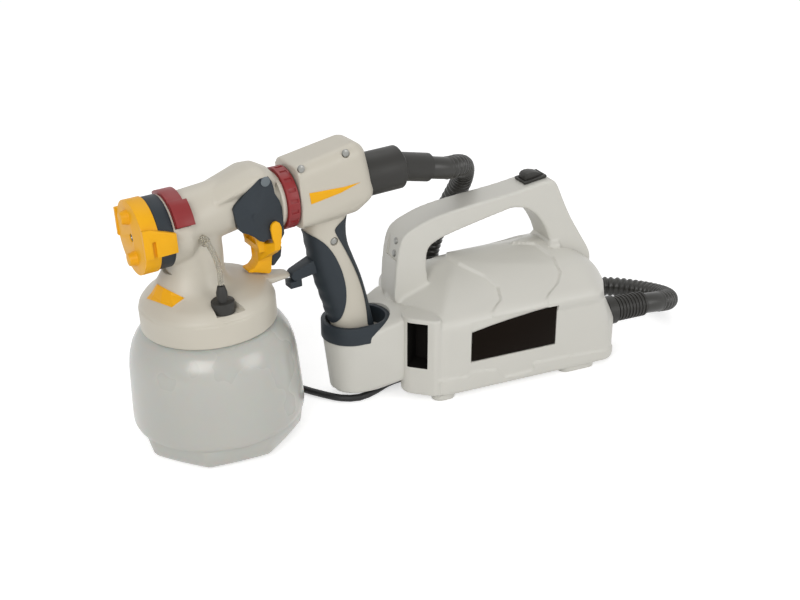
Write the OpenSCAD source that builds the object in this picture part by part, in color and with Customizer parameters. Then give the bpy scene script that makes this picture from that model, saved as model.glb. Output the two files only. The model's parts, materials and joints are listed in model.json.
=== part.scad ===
// Turbine paint sprayer: a floor-standing blower base with a gun holder, an air hose and a spray gun.
// Millimetres. +Z up, floor at z = 0, +X toward the hose end of the base, -Y toward its label side.

/* [Base] */
// Depth of the blower body along Y
body_w = 140; // [138:1:142]
// Height of the blower body's crown
body_h = 112; // [110:1:114]
// Gap between the body and the floor
body_lift = 6.5; // [5:0.5:8]
// Wall thickness of the moulded shells
shell_t = 3; // [2.5:0.25:3.5]
// Thickness of the carry handle along Y
handle_w = 34; // [30:1:36]

/* [Holder] */
// Length of the gun holder cup along X
cup_l = 62; // [60:1:64]
// Width of the gun holder cup along Y
cup_w = 52; // [50:1:54]
// Height of the holder's rim above the floor
cup_top = 78; // [77:0.5:79]

/* [Gun] */
// Turn of the gun in its holder, nozzle toward the front
gun_yaw = 7; // [6:0.5:8]
// Nose-down lean of the gun in its holder
gun_pitch = 2.5; // [2:0.25:2.75]
// Height of the spray axis above the holder's rim
axis_h = 130; // [129.5:0.25:130.5]
// Outer diameter of the coupling ring
coupling_d = 54; // [53:0.5:55]
// Outer diameter of the air cap
cap_d = 62; // [61:0.5:63]

/* [Container] */
// Largest diameter of the paint container
container_d = 149; // [147:1:150]
// Diameter of the container lid
lid_d = 115; // [114:0.5:116]

/* [Hose and cord] */
// Outer diameter of the air hose at its ribs
hose_d = 21.5; // [21:0.5:21.5]
// Distance from rib to rib along the air hose
rib_pitch = 6.2; // [6:0.1:6.6]
// Diameter of the mains cord
cord_d = 6.5; // [6:0.1:6.5]

/* [Hidden] */
$fn = 64;

shell_white = [0.85, 0.85, 0.83];
cream = [0.82, 0.80, 0.74];
slate = [0.18, 0.22, 0.26];
amber = [0.93, 0.68, 0.02];
dark_red = [0.50, 0.10, 0.11];
black = [0.13, 0.13, 0.12];
steel = [0.70, 0.71, 0.72];
milky = [0.75, 0.75, 0.73];
copper = [0.62, 0.38, 0.22];
rubber = [0.10, 0.10, 0.10];

half_w = body_w / 2;
pin_gap = 0.05;      // radial running clearance of pins, shafts and swivels
seat_gap = 0.02;     // gap between pieces of one body that sit on each other
far_away = 500;      // reach of cutting blocks

// Places in the base's frame
cup_x = -155;
cup_y = -16;
port_y = -36;        // the hose port's axis
port_z = 40;
cord_y = -22;        // the mains cord's way out
cord_z = 5.8;
turbine_z = 54;      // the motor and fan axis

// Places in the gun's frame: x rearwards along the barrel, y to the far side, z up
pivot_x = -87;       // the trigger's pivot
pivot_h = 159;
container_x = -140;  // the container's axis
rim_h = 41;          // the lid's lower rim
ledge_h = -46;       // the container's ledge above its foot
foot_h = -67.5;      // the container's foot

// ---------- shared helpers ----------
function unit(v) = v / norm(v);
function curve_point(a, b, c, d, t) =
  0.5 * (2 * b + (c - a) * t + (2 * a - 5 * b + 4 * c - d) * t * t + (3 * b - a - 3 * c + d) * t * t * t);
// Smooth curve through points, each stretch cut into a whole number of equal steps
function smooth_path(p, step, even = 1) = concat(
  [for (i = [0:len(p) - 2])
    let (n = even * max(1, round(norm(p[i + 1] - p[i]) / step / even)))
    for (k = [0:n - 1])
      curve_point(p[max(i - 1, 0)], p[i], p[i + 1], p[min(i + 2, len(p) - 1)], k / n)],
  [p[len(p) - 1]]);
function path_length(p, i = 0, total = 0) =
  i >= len(p) - 1 ? total : path_length(p, i + 1, total + norm(p[i + 1] - p[i]));
function tangents(p) = [for (i = [0:len(p) - 1])
  unit(p[min(i + 1, len(p) - 1)] - p[max(i - 1, 0)])];
function across(t) = unit(cross(t, abs(t[2]) < 0.8 ? [0, 0, 1] : [0, 1, 0]));
// Side directions carried along the curve without twisting
function carried_sides(t) = [for (
  i = 0, u = across(t[0]);
  i < len(t);
  i = i + 1, u = i < len(t) ? unit(u - (u * t[i]) * t[i]) : u) u];
function ring_points(c, t, u, r, sides) =
  let (v = cross(t, u))
  [for (k = [0:sides - 1]) c + r * (cos(360 * k / sides) * u + sin(360 * k / sides) * v)];
// Closed skin over rings of equally many points, each running counter-clockwise about the way ahead
module skin(rings) {
  sides = len(rings[0]);
  last = (len(rings) - 1) * sides;
  walls = [for (i = [0:len(rings) - 2], k = [0:sides - 1])
    let (a = i * sides + k, b = i * sides + (k + 1) % sides)
    each [[a, b + sides, b], [a, a + sides, b + sides]]];
  start_cap = [for (k = [1:sides - 2]) [0, k, k + 1]];
  end_cap = [for (k = [1:sides - 2]) [last, last + k + 1, last + k]];
  polyhedron([for (r = rings) each r], concat(walls, start_cap, end_cap), convexity = 10);
}
// Tube of triangles along a path, with a radius for each ring
module tube_along(p, radii, sides) {
  t = tangents(p);
  u = carried_sides(t);
  skin([for (i = [0:len(p) - 1]) ring_points(p[i], t[i], u[i], radii[i], sides)]);
}
// Ring of points in the plane z, an oval with squareness p (2 is an ellipse)
function oval(cx, z, a, b, p = 2.4, n = 20) = [for (k = [0:n - 1])
  let (c = cos(360 * k / n), s = sin(360 * k / n))
  [cx + a * sign(c) * pow(abs(c), 2 / p), b * sign(s) * pow(abs(s), 2 / p), z]];
// Cylinder or cone along +X from x0 to x1
module bar_x(x0, x1, r, r2 = -1) {
  translate([x0, 0, 0])
    rotate([0, 90, 0])
      cylinder(h = x1 - x0, r1 = r, r2 = r2 < 0 ? r : r2);
}
// Ring along +X
module ring_x(x0, x1, r_out, r_in) {
  difference() {
    bar_x(x0, x1, r_out);
    bar_x(x0 - 1, x1 + 1, r_in);
  }
}
module pin_y(r, l) {
  rotate([90, 0, 0])
    cylinder(h = l, r = r, center = true);
}
// Plate in the XZ plane, centred on y = 0
module plate_xz(outline, thick) {
  rotate([90, 0, 0])
    linear_extrude(thick, center = true)
      polygon(outline);
}
module near_half() {
  intersection() {
    children();
    translate([-far_away, -far_away - seat_gap / 2, -far_away])
      cube([2 * far_away, far_away, 2 * far_away]);
  }
}
module far_half() {
  intersection() {
    children();
    translate([-far_away, seat_gap / 2, -far_away])
      cube([2 * far_away, far_away, 2 * far_away]);
  }
}
module in_gun() {
  translate([cup_x, cup_y, cup_top - 1.5])
    rotate([0, -gun_pitch, gun_yaw])
      children();
}
module on_axis() {
  translate([0, 0, axis_h])
    children();
}
// The coupling's bore, a little above the needle's axis
module on_bore() {
  translate([0, 0, 133])
    children();
}
module on_container() {
  translate([container_x, 0, 0])
    children();
}

// ---------- base ----------
handle_outline = [
  [-116, 78], [-115.5, 100], [-114, 120], [-111, 140], [-106, 149], [-96, 155], [-73, 163.5],
  [-34, 168.5], [5.6, 173.1], [30, 177.8], [44, 180.3], [50, 179.5], [54, 175], [58, 166],
  [70, 140.6], [86.4, 114.6], [96, 101], [98, 92], [98, 60], [90, 45], [62, 70],
  [54, 100], [50, 116], [43, 133], [33, 147], [22, 155], [13, 157.5], [4, 158], [-6, 155.5],
  [-20, 152.5], [-30, 150], [-51, 145], [-72, 139], [-80, 134], [-83, 128], [-83, 113], [-80, 78]];
// Screws that close the two shells, driven from the far side: x, z and the depth of the head
shell_screws = [[-78, 28, 65], [84, 18, 62], [-99, 112, 12], [69, 117, 12], [-28, 160, 12]];
tower_r = 6;
post_screw_z = [-6, 6];   // along the recess in the handle's front post

module body_form(g) {
  hull() {
    for (s = [-1, 1]) {
      translate([-86, s * (half_w - 13), body_lift - g])
        cylinder(h = 63.5 + g, r = 13 + g, $fn = 24);
      translate([-86, s * (half_w - 13), 70])
        sphere(r = 13 + g, $fn = 24);
      translate([-34, s * (half_w - 16), 70])
        sphere(r = 16 + g, $fn = 24);
      translate([66, s * (half_w - 13), 73])
        sphere(r = 13 + g, $fn = 24);
      translate([84, s * (half_w - 15), body_lift - g])
        cylinder(h = 23.5 + g, r = 15 + g, $fn = 24);
      translate([74, s * (half_w - 18), 62])
        sphere(r = 17 + g, $fn = 24);
      translate([70, s * (half_w - 43), body_lift - g])
        cylinder(h = 32.5 + g, r = 43 + g, $fn = 32);
      translate([60, s * (half_w - 46), 64])
        sphere(r = 38 + g, $fn = 24);
    }
    translate([-104, 0, body_lift - g])
      cylinder(h = 68.5 + g, r = 16 + g, $fn = 24);
    translate([-104, 0, 75])
      sphere(r = 16 + g, $fn = 24);
    for (x = [-46, 50])
      translate([x, 0, body_h - 30])
        sphere(r = 30 + g, $fn = 24);
  }
}
module handle_form(g) {
  rotate([90, 0, 0])
    linear_extrude(handle_w + 2 * g, center = true)
      offset(delta = g)
        polygon(handle_outline);
}
module at_shell_screws(y) {
  for (s = shell_screws)
    translate([s[0], y, s[1]])
      rotate([-90, 0, 0])
        children();
}
module at_front_post() {
  translate([-111.8, -6, 135])
    rotate([0, 8.5, 0])
      children();
}
module cord_notch() {
  translate([0, cord_y, cord_z])
    bar_x(-200, -84, 5.5, $fn = 16);
}
module base_shell() {
  difference() {
    union() {
      difference() {
        union() {
          body_form(0);
          handle_form(0);
        }
        body_form(-shell_t);
        handle_form(-shell_t);
      }
      intersection() {
        union() {
          body_form(-1);
          handle_form(-1);
        }
        at_shell_screws(-body_w / 2)
          hull() {
            cylinder(h = body_w, r = tower_r, $fn = 16);
            translate([-0.75, 0, 0])
              cube([1.5, tower_r + 4, body_w]);
          }
      }
    }
    at_shell_screws(-11)
      cylinder(h = body_w, r = 1.9, $fn = 12);
    for (s = shell_screws)
      translate([s[0], s[2] + 20, s[1]])
        pin_y(4.2, 40, $fn = 24);
    at_switch()
      translate([-11.7, -7.3, -12.8])
        cube([23.4, 14.6, 30]);
    for (i = [0:6])
      translate([-76 + 8 * i, half_w - 8, 34])
        cube([4, 20, 38]);
    translate([-62.5, -half_w - 1, 35.5])
      cube([90, 1.8, 41]);
    translate([-2, half_w - 8, 34])
      cube([64, 30, 38]);
    translate([0, port_y, port_z])
      bar_x(60, 160, 14.5, $fn = 32);
    cord_notch();
    at_front_post()
      translate([-6, -9, -11])
        cube([7.6, 18, 22]);
  }
}
module base_front_shell() {
  color(shell_white)
    near_half()
      base_shell();
}
module base_back_shell() {
  color(shell_white)
    far_half()
      base_shell();
}
foot_h_base = body_lift - seat_gap;
module base_feet() {
  color(shell_white) {
    for (s = [-1, 1]) {
      hull()
        for (x = [-89.5, -83])
          translate([x, s * (half_w - 9.5), 0])
            cylinder(h = foot_h_base, r = 8, $fn = 24);
      hull()
        for (x = [46, 69])
          translate([x, s * (half_w - 9.5), 0])
            cylinder(h = foot_h_base, r = 8, $fn = 24);
    }
    cylinder(h = foot_h_base, r = 8, $fn = 24);
  }
}
module screw_head(r, h) {
  difference() {
    cylinder(h = h, r = r);
    for (a = [0, 90])
      rotate([0, 0, a])
        translate([-r * 0.6, -0.45, h - 0.9])
          cube([r * 1.2, 0.9, 2]);
  }
}
module base_screws() {
  color(steel) {
    for (s = shell_screws)
      translate([s[0], s[2], s[1]])
        rotate([-90, 0, 0]) {
          translate([0, 0, seat_gap])
            screw_head(3.9, 2);
          translate([0, 0, -15])
            cylinder(h = 15.5, r = 1.75);
        }
    at_front_post()
      for (z = post_screw_z)
        translate([1.6 - seat_gap, 0, z])
          rotate([0, -90, 0])
            screw_head(3.3, 1.5);
  }
}
module label_plate() {
  color(black)
    translate([0, -half_w + 0.75, 0])
      rotate([90, 0, 0])
        linear_extrude(0.95)
          polygon([[-62, 36], [27, 36], [27, 76], [4, 74.5], [-20, 72], [-42, 69], [-62, 65.5]]);
}

// ---------- gun holder ----------
cup_floor = 45;
rim_drop = 17;
module cup_outline(g) {
  square([cup_l - cup_w, cup_w + 2 * g], center = true);
  for (s = [-1, 1])
    translate([s * (cup_l - cup_w) / 2, 0])
      circle(r = cup_w / 2 + g, $fn = 40);
}
module holder_outer(g) {
  hull() {
    translate([cup_x, cup_y, cup_top - rim_drop - 4])
      linear_extrude(4 + g)
        cup_outline(g - 0.5);
    translate([cup_x + 2, cup_y, 9 - g])
      linear_extrude(4)
        cup_outline(g - 4);
    for (y = [-42, 22])
      translate([-108, y, 23 - g])
        cylinder(h = 60 + 2 * g, r = 8 + g, $fn = 24);
  }
}
// Block at the body's front near corner, with a pocket in its slanted face
pocket_at = [-111.25, -59.5, 35];
module corner_block(g, drop) {
  hull() {
    translate([-107, -45, body_lift - g - drop])
      cylinder(h = 77.5 + 2 * g, r = 14 + g, $fn = 32);
    translate([-97, -64.5, body_lift - g - drop])
      cylinder(h = 77.5 + 2 * g, r = 5.5 + g, $fn = 24);
  }
}
module gun_holder() {
  color(shell_white)
    difference() {
      union() {
        difference() {
          holder_outer(0);
          translate([0, 0, -shell_t - 1])
            holder_outer(-shell_t);
        }
        intersection() {
          holder_outer(0);
          translate([cup_x, cup_y, 0])
            linear_extrude(cup_top)
              cup_outline(-2);
        }
        difference() {
          corner_block(0, 0);
          intersection() {
            corner_block(-shell_t, 10);
            translate([-140, -90, 0])
              cube([60, 90, 32]);
          }
        }
      }
      translate([cup_x, cup_y, cup_floor])
        linear_extrude(80)
          cup_outline(-5);
      translate([cup_x, cup_y, -1])
        linear_extrude(cup_floor - 2)
          cup_outline(-10);
      translate(pocket_at)
        rotate([0, 0, 44])
          translate([-10, -8.5, 0])
            cube([30, 17, 45]);
      translate([cup_x, cup_y, cup_top - rim_drop])
        linear_extrude(60)
          cup_outline(1.2 + seat_gap);
      body_form(seat_gap);
      translate([-116.3, -handle_w / 2 - 0.3, 70])
        cube([30, handle_w + 0.6, 40]);
      cord_notch();
    }
}
module holder_rim() {
  color(slate)
    difference() {
      translate([cup_x, cup_y, cup_top - rim_drop + seat_gap])
        linear_extrude(rim_drop - seat_gap)
          cup_outline(1.2);
      translate([cup_x, cup_y, cup_top - 30])
        linear_extrude(60)
          cup_outline(-3.2);
      body_form(2 * seat_gap);
    }
}

// ---------- switch ----------
rocker_outline = [
  [-9.7, -2], [-9.7, 2.5], [-8.8, 6.4], [-6.5, 8.2], [-3, 8.6], [1, 7.8], [5.5, 6], [8.6, 4], [9.7, 2],
  [9.7, -2], [2, -5], [-2, -5]];
module at_switch() {
  translate([34, 0, 178.6])
    rotate([0, -10.3, 0])
      children();
}
module switch_bezel() {
  color([0.22, 0.23, 0.24])
    at_switch()
      difference() {
        translate([-12, -10, 0.1])
          cube([24, 20, 2.6]);
        translate([-10.3, -6.4, -5])
          cube([20.6, 12.8, 20]);
      }
}
module switch_rocker() {
  color(black)
    at_switch()
      plate_xz(rocker_outline, 12.2);
}
module switch_body() {
  color(black)
    at_switch()
      difference() {
        translate([-11.5, -7.2, -12.5])
          cube([23, 14.4, 12.5]);
        translate([-10.3, -6.4, -9])
          cube([20.6, 12.8, 20]);
      }
}

// ---------- motor, fan and air path ----------
shaft_r = 4;
fan_r = 39;
fan_x = [30, 48];
module on_turbine() {
  translate([0, 0, turbine_z])
    children();
}
module motor_stator() {
  color([0.45, 0.46, 0.48])
    on_turbine() {
      difference() {
        bar_x(-62, 16, 35);
        bar_x(-58, 12, 32.5);
        bar_x(-70, 20, 8 + seat_gap);
        for (a = [0:60:300])
          rotate([a, 0, 0])
            translate([-40, 0, 20])
              cube([8, 12, 20]);
      }
      color(copper)
        ring_x(-30, -2, 32.4, 23);
    }
}
module motor_rotor() {
  color(copper)
    on_turbine() {
      ring_x(-32, 0, 22, shaft_r + pin_gap / 5);
      ring_x(-52, -40, 11, shaft_r + pin_gap / 5);
    }
}
module motor_shaft() {
  color(steel)
    on_turbine()
      bar_x(-64, 64, shaft_r);
}
module motor_bearings() {
  color(steel)
    on_turbine()
      for (x = [-62, 11])
        ring_x(x, x + 5, 8, shaft_r + pin_gap);
}
module motor_brushes() {
  color(rubber)
    on_turbine()
      for (s = [-1, 1])
        translate([-46, s * 21.9, 0])
          cube([7, 21, 6], center = true);
}
module fan_impellers() {
  color([0.75, 0.76, 0.78])
    on_turbine()
      for (x = fan_x) {
        ring_x(x, x + 2, fan_r, shaft_r + pin_gap / 5);
        ring_x(x + 10, x + 11.5, fan_r, 18);
        ring_x(x, x + 11.5, 8, shaft_r + pin_gap / 5);
        for (a = [0:40:320])
          rotate([a, 0, 0])
            translate([x, -0.6, 7])
              cube([11.5, 1.2, fan_r - 8]);
      }
}
module turbine_housing() {
  color(black)
    on_turbine() {
      difference() {
        bar_x(20, 72, 44);
        bar_x(23, 69, 42);
        bar_x(16, 30, 20);
        translate([0, port_y, port_z - turbine_z])
          bar_x(60, 80, 5);
      }
      difference() {
        bar_x(44.2, 45.6, 42);
        bar_x(40, 50, 14);
      }
    }
}
module outlet_duct() {
  color(black)
    translate([0, port_y, port_z]) {
      ring_x(72 + seat_gap, 103, 13.5, 11);
    }
}
module intake_filter() {
  color([0.55, 0.55, 0.52])
    translate([1.5, half_w - 12.5, 36.5])
      cube([57, 8, 33]);
}
module filter_cover() {
  color(shell_white)
    difference() {
      translate([-1.6, half_w - 3.2, 34.4])
        cube([63.2, 4.4, 37.2]);
      for (i = [0:6])
        translate([6 + 8 * i, half_w - 10, 39])
          cube([4, 20, 28]);
    }
}
module hose_cuff() {
  color(black)
    translate([0, port_y, port_z])
      difference() {
        union() {
          bar_x(104, 150, 11.7);
          bar_x(104, 114, 14.2);
          for (x = [116:4:146])
            bar_x(x, x + 2.2, 12.3);
        }
        bar_x(100, 160, 10.9);
      }
}

// ---------- air hose ----------
hose_route = [
  [-82, -7, 208], [-58, -4, 203], [-40, 8, 199], [-24, 28, 188], [-15, 50, 166], [-18, 68, 138],
  [-28, 80, 104], [-32, 86, 74], [-24, 90, 44], [-4, 93, 22], [30, 94, 12.5], [70, 92, 11.5],
  [110, 88, 11.5], [145, 80, 11.5], [180, 63, 12], [200, 36, 15], [205, 6, 21], [194, -20, 29],
  [171, -34, 37], [146, -36, 40]];
hose_path = smooth_path(hose_route, rib_pitch / 2, 2);
hose_rings = len(hose_path);
hose_end_rings = 8;
function hose_radius(i) =
  i < hose_end_rings || i > hose_rings - hose_end_rings ? hose_d / 2 - 0.5 :
  i % 2 == 0 ? hose_d / 2 : hose_d / 2 - 1.7;
module air_hose() {
  bore_path = [for (i = [0:2:hose_rings - 1]) hose_path[i]];
  color(black)
    difference() {
      tube_along(hose_path, [for (i = [0:hose_rings - 1]) hose_radius(i)], 8);
      tube_along(bore_path, [for (i = bore_path) hose_d / 2 - 3.4], 8);
    }
}

// ---------- mains cord ----------
coil_at = [-270, 105];
coil_r = 48;          // from the coil's axis to its outermost turn
turn_pitch = 7.1;     // from turn to turn, along and up
coil_turns = 3;       // turns in a layer
coil_layers = 4;
coil_z = cord_d / 2 + 1.35;
coil_steps = 24;      // rings in a turn
function zigzag(t) =
  let (m = t - 2 * coil_turns * floor(t / (2 * coil_turns)))
  m < coil_turns ? m : 2 * coil_turns - m;
// Height in layers: a climb of half a turn at each reversal
function layer_at(t) =
  let (k = round(t / coil_turns), d = t - k * coil_turns)
  k < 1 || k >= coil_layers ? floor(min(t / coil_turns, coil_layers - 1)) :
  abs(d) < 0.25 ? k - 0.5 + 2 * d :
  d < 0 ? k - 1 : k;
function coil_point(t) =
  let (r = coil_r - turn_pitch * zigzag(t))
  [coil_at[0] + r * cos(360 * t), coil_at[1] + r * sin(360 * t), coil_z + turn_pitch * layer_at(t)];
coil_total = coil_turns * coil_layers;
coil_path = [for (i = [0:coil_total * coil_steps]) coil_point(i / coil_steps)];
cord_route = [
  [-98, -22, 5.8], [-114, -22, 5.6], [-128, -24, 4.4], [-142, -30, 3.4], [-160, -35, 3.3],
  [-176, -29, 3.3], [-190, -14, 3.3], [-202, 2, 3.3], [-212, 20, 3.3], [-219, 40, 3.3],
  [-222, 62, 3.6], [-222, 84, 4.4], [-222, 105, 4.6]];
tail_route = [
  [-222, 105, 25.9], [-221, 120, 25.7], [-216, 136, 20], [-209, 152, 13], [-209, 167, 10.3],
  [-218, 176.4, 10.1], [-226, 178, 10], [-237, 178, 10]];
module cord_between(route) {
  p = smooth_path(route, 2.5 * cord_d);
  color(rubber)
    tube_along(p, [for (i = p) cord_d / 2], 8);
}
module power_cord() {
  cord_between(cord_route);
}
module power_cord_tail() {
  cord_between(tail_route);
}
// Least distance between two points of a path that are at least "apart" steps from each other.
function least_gap(p, apart, d) =
  min([for (i = [0:len(p) - 1 - apart])
    min([for (j = [i + apart:len(p) - 1]) norm(p[i] - p[j])])]) - d;
module power_cord_coil() {
  echo(coil_gap = least_gap(coil_path, 12, cord_d), coil_length = path_length(coil_path));
  color(rubber)
    tube_along(coil_path, [for (i = coil_path) cord_d / 2], 6);
}
module cord_tie() {
  wide = coil_turns * turn_pitch + cord_d + 0.6;
  tall = (coil_layers - 1) * turn_pitch + cord_d + 0.4;
  color(black)
    translate([coil_at[0] - coil_r + wide / 2 - cord_d / 2 - 0.3, coil_at[1], coil_z - cord_d / 2 - 0.2 + tall / 2])
      difference() {
        cube([wide + 2.2, 8, tall + 2.2], center = true);
        cube([wide, 20, tall], center = true);
      }
}
plug_at = [0, 178, 10];
module mains_plug() {
  color(black)
    translate(plug_at)
      difference() {
        union() {
          bar_x(-250, -232, 6.5, 4.4);
          hull()
            for (s = [-1, 1]) {
              translate([-252, s * 8, 0])
                cylinder(h = 17, r = 8, center = true, $fn = 32);
              translate([-278, s * 12.4, 0])
                cylinder(h = 19, r = 7, center = true, $fn = 32);
            }
        }
        bar_x(-237.5, -222, cord_d / 2 + 0.4);
      }
  color(steel)
    translate(plug_at)
      for (s = [-1, 1])
        translate([0, s * 9.5, 0])
          bar_x(-304, -284, 2.4);
}
module strain_relief() {
  color(black)
    translate([0, cord_y, cord_z])
      difference() {
        union() {
          bar_x(-112, -92, 4.2, 5.3);
          bar_x(-92, -86, 5.4);
        }
        bar_x(-130, -96, 3.35);
      }
}

// ---------- gun ----------
// Grip rings: centre x, height, half depth, half width
grip_rings = [
  [0, -30, 17, 14.5], [-2, -14, 18.5, 15.5], [-7, 8, 19.5, 16.5], [-11, 26, 20, 16.8],
  [-16, 46, 20.3, 16.5], [-21, 64, 19.4, 15.8], [-24.5, 80, 18, 15], [-26, 96, 18.8, 15],
  [-26, 112, 22, 16]];
module grip_form(g) {
  skin([for (r = grip_rings)
    oval(r[0], r[1] - (r[1] < -29 ? g : 0), r[2] + g, r[3] + g)]);
}
module housing_form(g) {
  hull() {
    for (s = [-1, 1]) {
      translate([0, s * 14, 118])
        bar_x(-57 - g, -48, 10.5 + g, $fn = 20);
      translate([0, s * 13, 152.5])
        bar_x(-57 - g, -48, 10.5 + g, $fn = 24);
      translate([-1, s * 11, 160])
        sphere(r = 12 + g, $fn = 16);
      translate([5, s * 12, 127])
        sphere(r = 12 + g, $fn = 16);
      translate([-4, s * 11, 120])
        sphere(r = 11.5 + g, $fn = 16);
    }
  }
}
gun_screw_at = [[-54, 162.5, -21.5], [-11, 166.5, -20], [-24, 87, -12.5]];
module gun_shell() {
  difference() {
    union() {
      difference() {
        union() {
          housing_form(0);
          grip_form(0);
        }
        housing_form(-2.5);
        grip_form(-2.5);
      }
      intersection() {
        union() {
          housing_form(-1);
          grip_form(-1);
        }
        union() {
          for (s = gun_screw_at)
            translate([s[0], 0, s[1]])
              hull() {
                pin_y(4.8, 60, $fn = 16);
                translate([-1, -30, -8])
                  cube([2, 60, 8]);
              }
          hull() {
            translate([-36, 0, 108])
              cube([2, 40, 1], center = true);
            translate([-36, 0, 111.5])
              cube([2, 34, 2], center = true);
          }
        }
      }
    }
    grip_pad_form(0.02);
    grip_strip_form(0.02);
    on_bore()
      bar_x(-70, -50, 21.9);
    translate([0, 0, 135])
      bar_x(0, 60, 19.5 + seat_gap, $fn = 40);
    support_arm_form(seat_gap);
    for (s = gun_screw_at)
      translate([s[0], s[2], s[1]])
        rotate([90, 0, 0]) {
          cylinder(h = 15, r = 3.7, $fn = 20);
          translate([0, 0, -14])
            cylinder(h = 20, r = 1.7, $fn = 12);
        }
  }
}
module gun_shell_left() {
  color(cream)
    in_gun()
      near_half()
        gun_shell();
}
module gun_shell_right() {
  color(cream)
    in_gun()
      far_half()
        gun_shell();
}
pad_outline = [
  [-60, 106], [-48, 99], [-36, 91], [-27, 79], [-20, 62], [-16.5, 44], [-17, 28], [-21, 13],
  [-27, 2], [-30, -10], [-60, -10]];
strip_outline = [
  [30, 106], [-10, 106], [-22.5, 100], [-23, 95], [-14, 78], [-5, 57], [2, 34], [4.5, 12],
  [4, -10], [30, -10]];
module grip_pad_form(g) {
  intersection() {
    difference() {
      grip_form(0.7);
      grip_form(-1.6 - g);
    }
    plate_xz(pad_outline, 60);
  }
}
module grip_strip_form(g) {
  intersection() {
    difference() {
      grip_form(0.5);
      grip_form(-1.6 - g);
    }
    plate_xz(strip_outline, 60);
  }
}
module grip_pad() {
  color(slate)
    in_gun()
      difference() {
        grip_pad_form(-0.04);
        housing_form(seat_gap);
        support_arm_form(2 * seat_gap);
      }
}
module grip_back_strip() {
  color(slate)
    in_gun()
      difference() {
        grip_strip_form(-0.04);
        housing_form(seat_gap);
      }
}
module gun_screws() {
  color(steel)
    in_gun()
      for (s = gun_screw_at)
        translate([s[0], s[2], s[1]])
          rotate([90, 0, 0]) {
            screw_head(3.4, 2);
            translate([0, 0, -12])
              cylinder(h = 12.5, r = 1.6);
          }
}
elbow_tilt = 14;
module hose_connector() {
  color(black)
    in_gun()
      difference() {
        union() {
          translate([0, 0, 135])
            bar_x(10, 50, 19.5);
          translate([0, 0, 135])
            bar_x(50, 54, 19.5, 14);
          translate([50, 0, 135.5])
            rotate([0, elbow_tilt, 0])
              bar_x(0, 33, 13);
        }
        translate([0, 0, 135])
          bar_x(0, 46, 16);
        translate([50, 0, 135.5])
          rotate([0, elbow_tilt, 0])
            bar_x(-8, 40, 11.2);
      }
}
module gun_air_tube() {
  color([0.3, 0.31, 0.32])
    in_gun()
      hull_tube();
}
module hull_tube() {
  difference() {
    hull() {
      on_bore()
        bar_x(-51, -49, 17);
      translate([0, 0, 135])
        bar_x(7, 9.9, 17.5);
    }
    hull() {
      on_bore()
        bar_x(-53, -51, 15);
      translate([0, 0, 135])
        bar_x(9, 12, 15.5);
    }
  }
}
module coupling_socket() {
  color(slate)
    in_gun()
      on_bore()
        difference() {
          union() {
            bar_x(-67, -57 - seat_gap, coupling_d / 2 - 5);
            bar_x(-67, -51.1, 21.8);
          }
          bar_x(-70, -56, 20.6);
          bar_x(-70, -40, 16);
        }
}
module gun_badge() {
  color(amber)
    in_gun()
      difference() {
        intersection() {
          housing_form(0.5);
          translate([0, -20, 0])
            plate_xz([[-49, 140.5], [-48, 130.5], [-20, 134], [0, 139], [-16, 138.5]], 20);
        }
        housing_form(seat_gap);
      }
}
module support_arm_form(g) {
  hull() {
    translate([-33, 0, 66])
      pin_y(7 + g, 14 + 2 * g, $fn = 32);
    translate([-58, 0, 60])
      pin_y(4.5 + g, 11 + 2 * g, $fn = 32);
  }
}
module support_arm() {
  color(slate)
    in_gun()
      difference() {
        union() {
          support_arm_form(0);
          translate([-64.5, -5.5, 49])
            cube([10, 11, 6]);
          translate([-58, -5.5, 49])
            cube([4.5, 11, 12]);
        }
        grip_form(-2.6);
      }
}
module coupling_ring() {
  color(dark_red)
    in_gun()
      on_bore()
        difference() {
          bar_x(-69.8, -59.4, coupling_d / 2);
          bar_x(-80, -50, coupling_d / 2 - 5 + pin_gap);
          for (a = [0:20:340])
            rotate([a, 0, 0])
              translate([-67.4, -1.6, coupling_d / 2 - 0.8])
                cube([6.4, 3.2, 4]);
        }
}

// ---------- spray attachment ----------
vent_x = -143.5;      // the vent cap's axis
vent_y = -44;
vent_h = 66.6;
vent_r = 9.6;
module vent_seat() {
  hull()
    for (p = [[vent_x, vent_y, vent_r + seat_gap], [vent_x + 4, vent_y - 14, 14]])
      translate([p[0], p[1], vent_h - seat_gap])
        cylinder(h = 25, r = p[2], $fn = 40);
}
// Slightly flattened rings of the barrel: x, height, radius, flattening of the sides
barrel_rings = [[-158, 133, 25.5, 1], [-150, 133, 25.5, 1], [-119, 138, 24.5, 0.79], [-86, 145, 24.5, 0.78],
  [-76, 145, 18, 0.9]];
// Roof over the trigger's pivot: x, height of the ridge, height of the edge, half width
roof_sections = [[-130, 159.5, 150, 20.5], [-118, 162.8, 154.5, 22], [-95, 169.3, 163.5, 22],
  [-86, 169.3, 163, 21.5], [-79.5, 165.6, 160, 19.5], [-74.6, 162, 156, 17]];
module barrel_form(g) {
  for (part = [[0, 1, 2], [2, 3, 4]])
    hull()
      for (i = part)
        translate([0, 0, barrel_rings[i][1]])
          scale([1, barrel_rings[i][3], 1])
            bar_x(barrel_rings[i][0], barrel_rings[i][0] + 1, barrel_rings[i][2] + g);
  hull()
    for (s = roof_sections)
      translate([s[0], 0, 0])
        rotate([90, 0, 90])
          linear_extrude(0.2)
            polygon([[-s[3] - g, s[2] - 2 - g], [-s[3] - g, s[2]], [-s[3] + 3, s[2] + 1.8 + g],
              [-9, s[1] - 0.9 + g], [0, s[1] + g], [9, s[1] - 0.9 + g],
              [s[3] - 3, s[2] + 1.8 + g], [s[3] + g, s[2]], [s[3] + g, s[2] - 2 - g],
              [s[3] - 4, s[2] - 6 - g], [-s[3] + 4, s[2] - 6 - g]]);
}
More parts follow.
